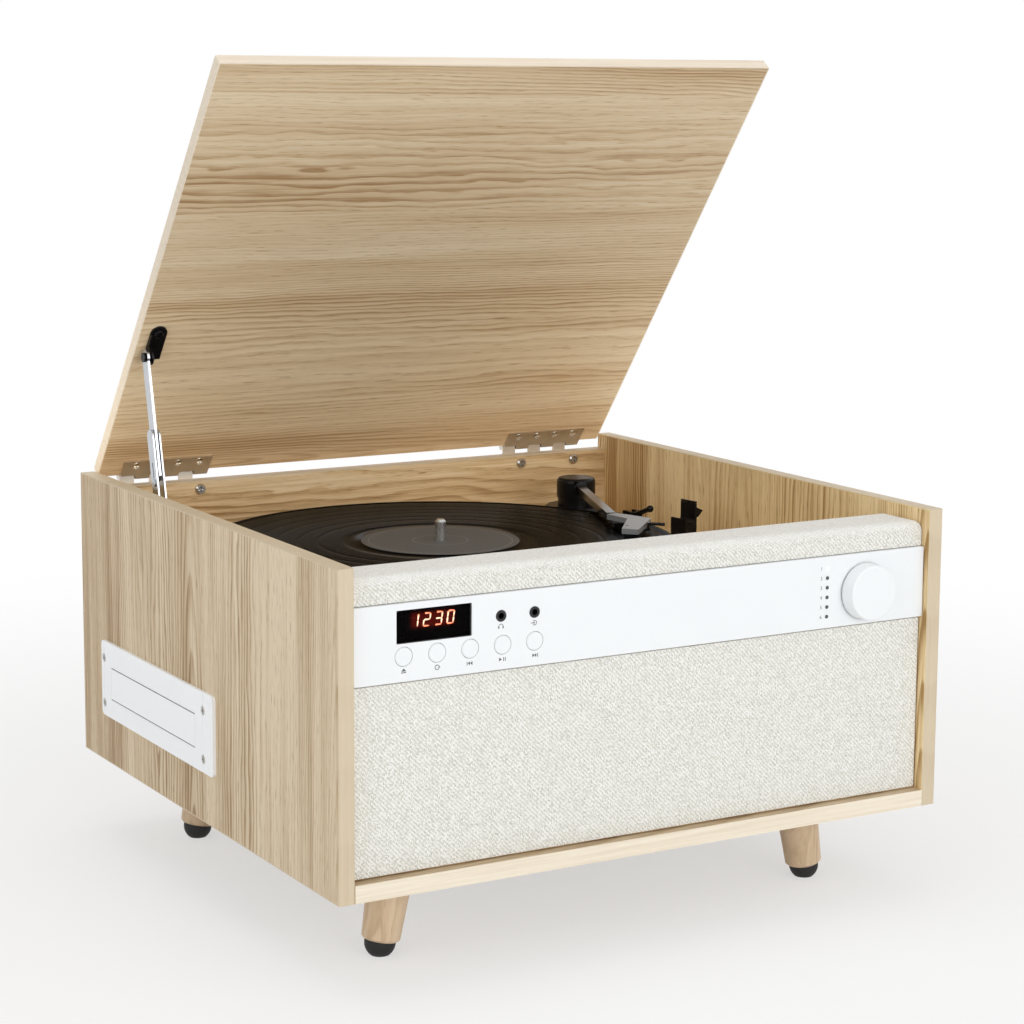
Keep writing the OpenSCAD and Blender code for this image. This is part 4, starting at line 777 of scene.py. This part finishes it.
def source_numbers():
    """The figures 1 to 6 beside the source lights."""
    low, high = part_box("source_lights")
    pitch = (high.z - low.z - 2.2 * MM) / 5
    whole = bmesh.new()
    for number in range(6):
        curve = bpy.data.curves.new("figure", "FONT")
        curve.body = str(number + 1)
        curve.size = 3.0 * MM
        curve.align_x = "RIGHT"
        curve.align_y = "CENTER"
        curve.extrude = INK_T / 2
        text = bpy.data.objects.new("figure", curve)
        scene.collection.objects.link(text)
        bpy.context.view_layer.update()
        mesh = bpy.data.meshes.new_from_object(text)
        bpy.data.objects.remove(text)
        turn = Matrix.Rotation(pi / 2, 4, "X")
        spot = Matrix.Translation((low.x - 2.6 * MM, STRIP_FACE, high.z - 1.1 * MM - number * pitch))
        mesh.transform(spot @ turn)
        whole.from_mesh(mesh)
        bpy.data.meshes.remove(mesh)
    return whole


finished(source_numbers(), "source_numbers", ink, "cabinet", smooth=False)


# ---- floor, lights and camera ----

def make_floor():
    """A pale floor that the camera sees near white, with the cabinet's shadow kept."""
    shape = bmesh.new()
    bmesh.ops.create_grid(shape, x_segments=1, y_segments=1, size=9)
    bmesh.ops.translate(shape, verts=shape.verts, vec=(0, 0, -0.0002))
    mesh = bpy.data.meshes.new("floor")
    shape.to_mesh(mesh)
    shape.free()
    floor = bpy.data.objects.new("floor", mesh)
    scene.collection.objects.link(floor)
    ground = Finish("pale_floor", Roughness=0.9, Specular_IOR_Level=0.1)
    speck = ground.noise(ground.place, 6.0, 3.0)
    ground.set(Base_Color=ground.mix(speck, paint(246, 246, 246), paint(242, 242, 242)))
    rays = ground.node("ShaderNodeLightPath")
    nodes = ground.tree.nodes
    seen = Value(ground, rays.socket.node.outputs["Is Camera Ray"]).most(
        Value(ground, rays.socket.node.outputs["Is Glossy Ray"])).most(
        Value(ground, rays.socket.node.outputs["Is Transmission Ray"]))
    distance = ground.vector("LENGTH", ground.place, out="Value")
    share = seen * ground.ease(distance, 0.25, 1.1, 0.55, 1.0)
    white = ground.node("ShaderNodeEmission", None, {"Color": (1, 1, 1, 1), "Strength": 1.0})
    shader = Value(ground, ground.shader.outputs["BSDF"])
    mixed = ground.node("ShaderNodeMixShader", None, (share, shader, white))
    ground.feed(nodes["Material Output"].inputs["Surface"], mixed)
    mesh.materials.append(ground.material)


def make_world(strength):
    """White to the camera and in reflections, and a plain soft level on the object."""
    world = bpy.data.worlds.new("studio")
    scene.world = world
    world.use_nodes = True
    sky = Tree(world.node_tree)
    rays = sky.node("ShaderNodeLightPath").socket.node.outputs
    seen = Value(sky, rays["Is Camera Ray"]).most(Value(sky, rays["Is Glossy Ray"])).most(
        Value(sky, rays["Is Transmission Ray"]))
    level = seen * (1 - strength) + strength
    background = world.node_tree.nodes["Background"]
    background.inputs["Color"].default_value = (1, 1, 1, 1)
    sky.feed(background.inputs["Strength"], level)


SKY = 0.6
# name, place, watts, size
LAMPS = [("key", (1.1, -2.0, 2.0), 6, (1.5, 1.5)),
         ("front", (0.2, -2.6, 0.7), 19, (1.8, 1.0)),
         ("fill", (-2.2, -1.0, 1.0), 9.5, (1.6, 1.6)),
         ("top", (-0.2, 0.4, 2.6), 10, (1.6, 1.6))]


def soft_light(name, place, power, size, aim=(0, 0, 0.22)):
    """A rectangular studio lamp turned towards the cabinet."""
    lamp = bpy.data.lights.new(name, "AREA")
    lamp.shape = "RECTANGLE"
    lamp.size, lamp.size_y = size
    lamp.energy = power
    holder = bpy.data.objects.new(name, lamp)
    scene.collection.objects.link(holder)
    holder.location = place
    holder.rotation_euler = (Vector(aim) - Vector(place)).to_track_quat("-Z", "Y").to_euler()


def make_camera():
    """The photograph's viewpoint, fitted to the cabinet's corners."""
    yaw, pitch, roll = radians(-30.2032), radians(8.5619), radians(0.3419)
    back = Vector((sin(yaw) * cos(pitch), -cos(yaw) * cos(pitch), sin(pitch)))
    side = UPRIGHT.cross(back).normalized()
    up = back.cross(side)
    across = cos(roll) * side + sin(roll) * up
    upward = cos(roll) * up - sin(roll) * side
    lens = bpy.data.cameras.new("camera")
    sensor, image, focal, horizon = 36, 1024, 2550.72, 461
    lens.sensor_width = sensor
    lens.lens = sensor * focal / image
    lens.shift_y = (horizon - image / 2) / image
    lens.clip_start = 0.05
    camera = bpy.data.objects.new("camera", lens)
    scene.collection.objects.link(camera)
    turn = Matrix((across, upward, back)).transposed().to_4x4()
    camera.matrix_world = Matrix.Translation(Vector((-795.57, -1387.41, 499.39)) * MM) @ turn
    scene.camera = camera


make_floor()
make_world(SKY)
for lamp in LAMPS:
    soft_light(*lamp)
make_camera()

scene.view_settings.view_transform = "Standard"
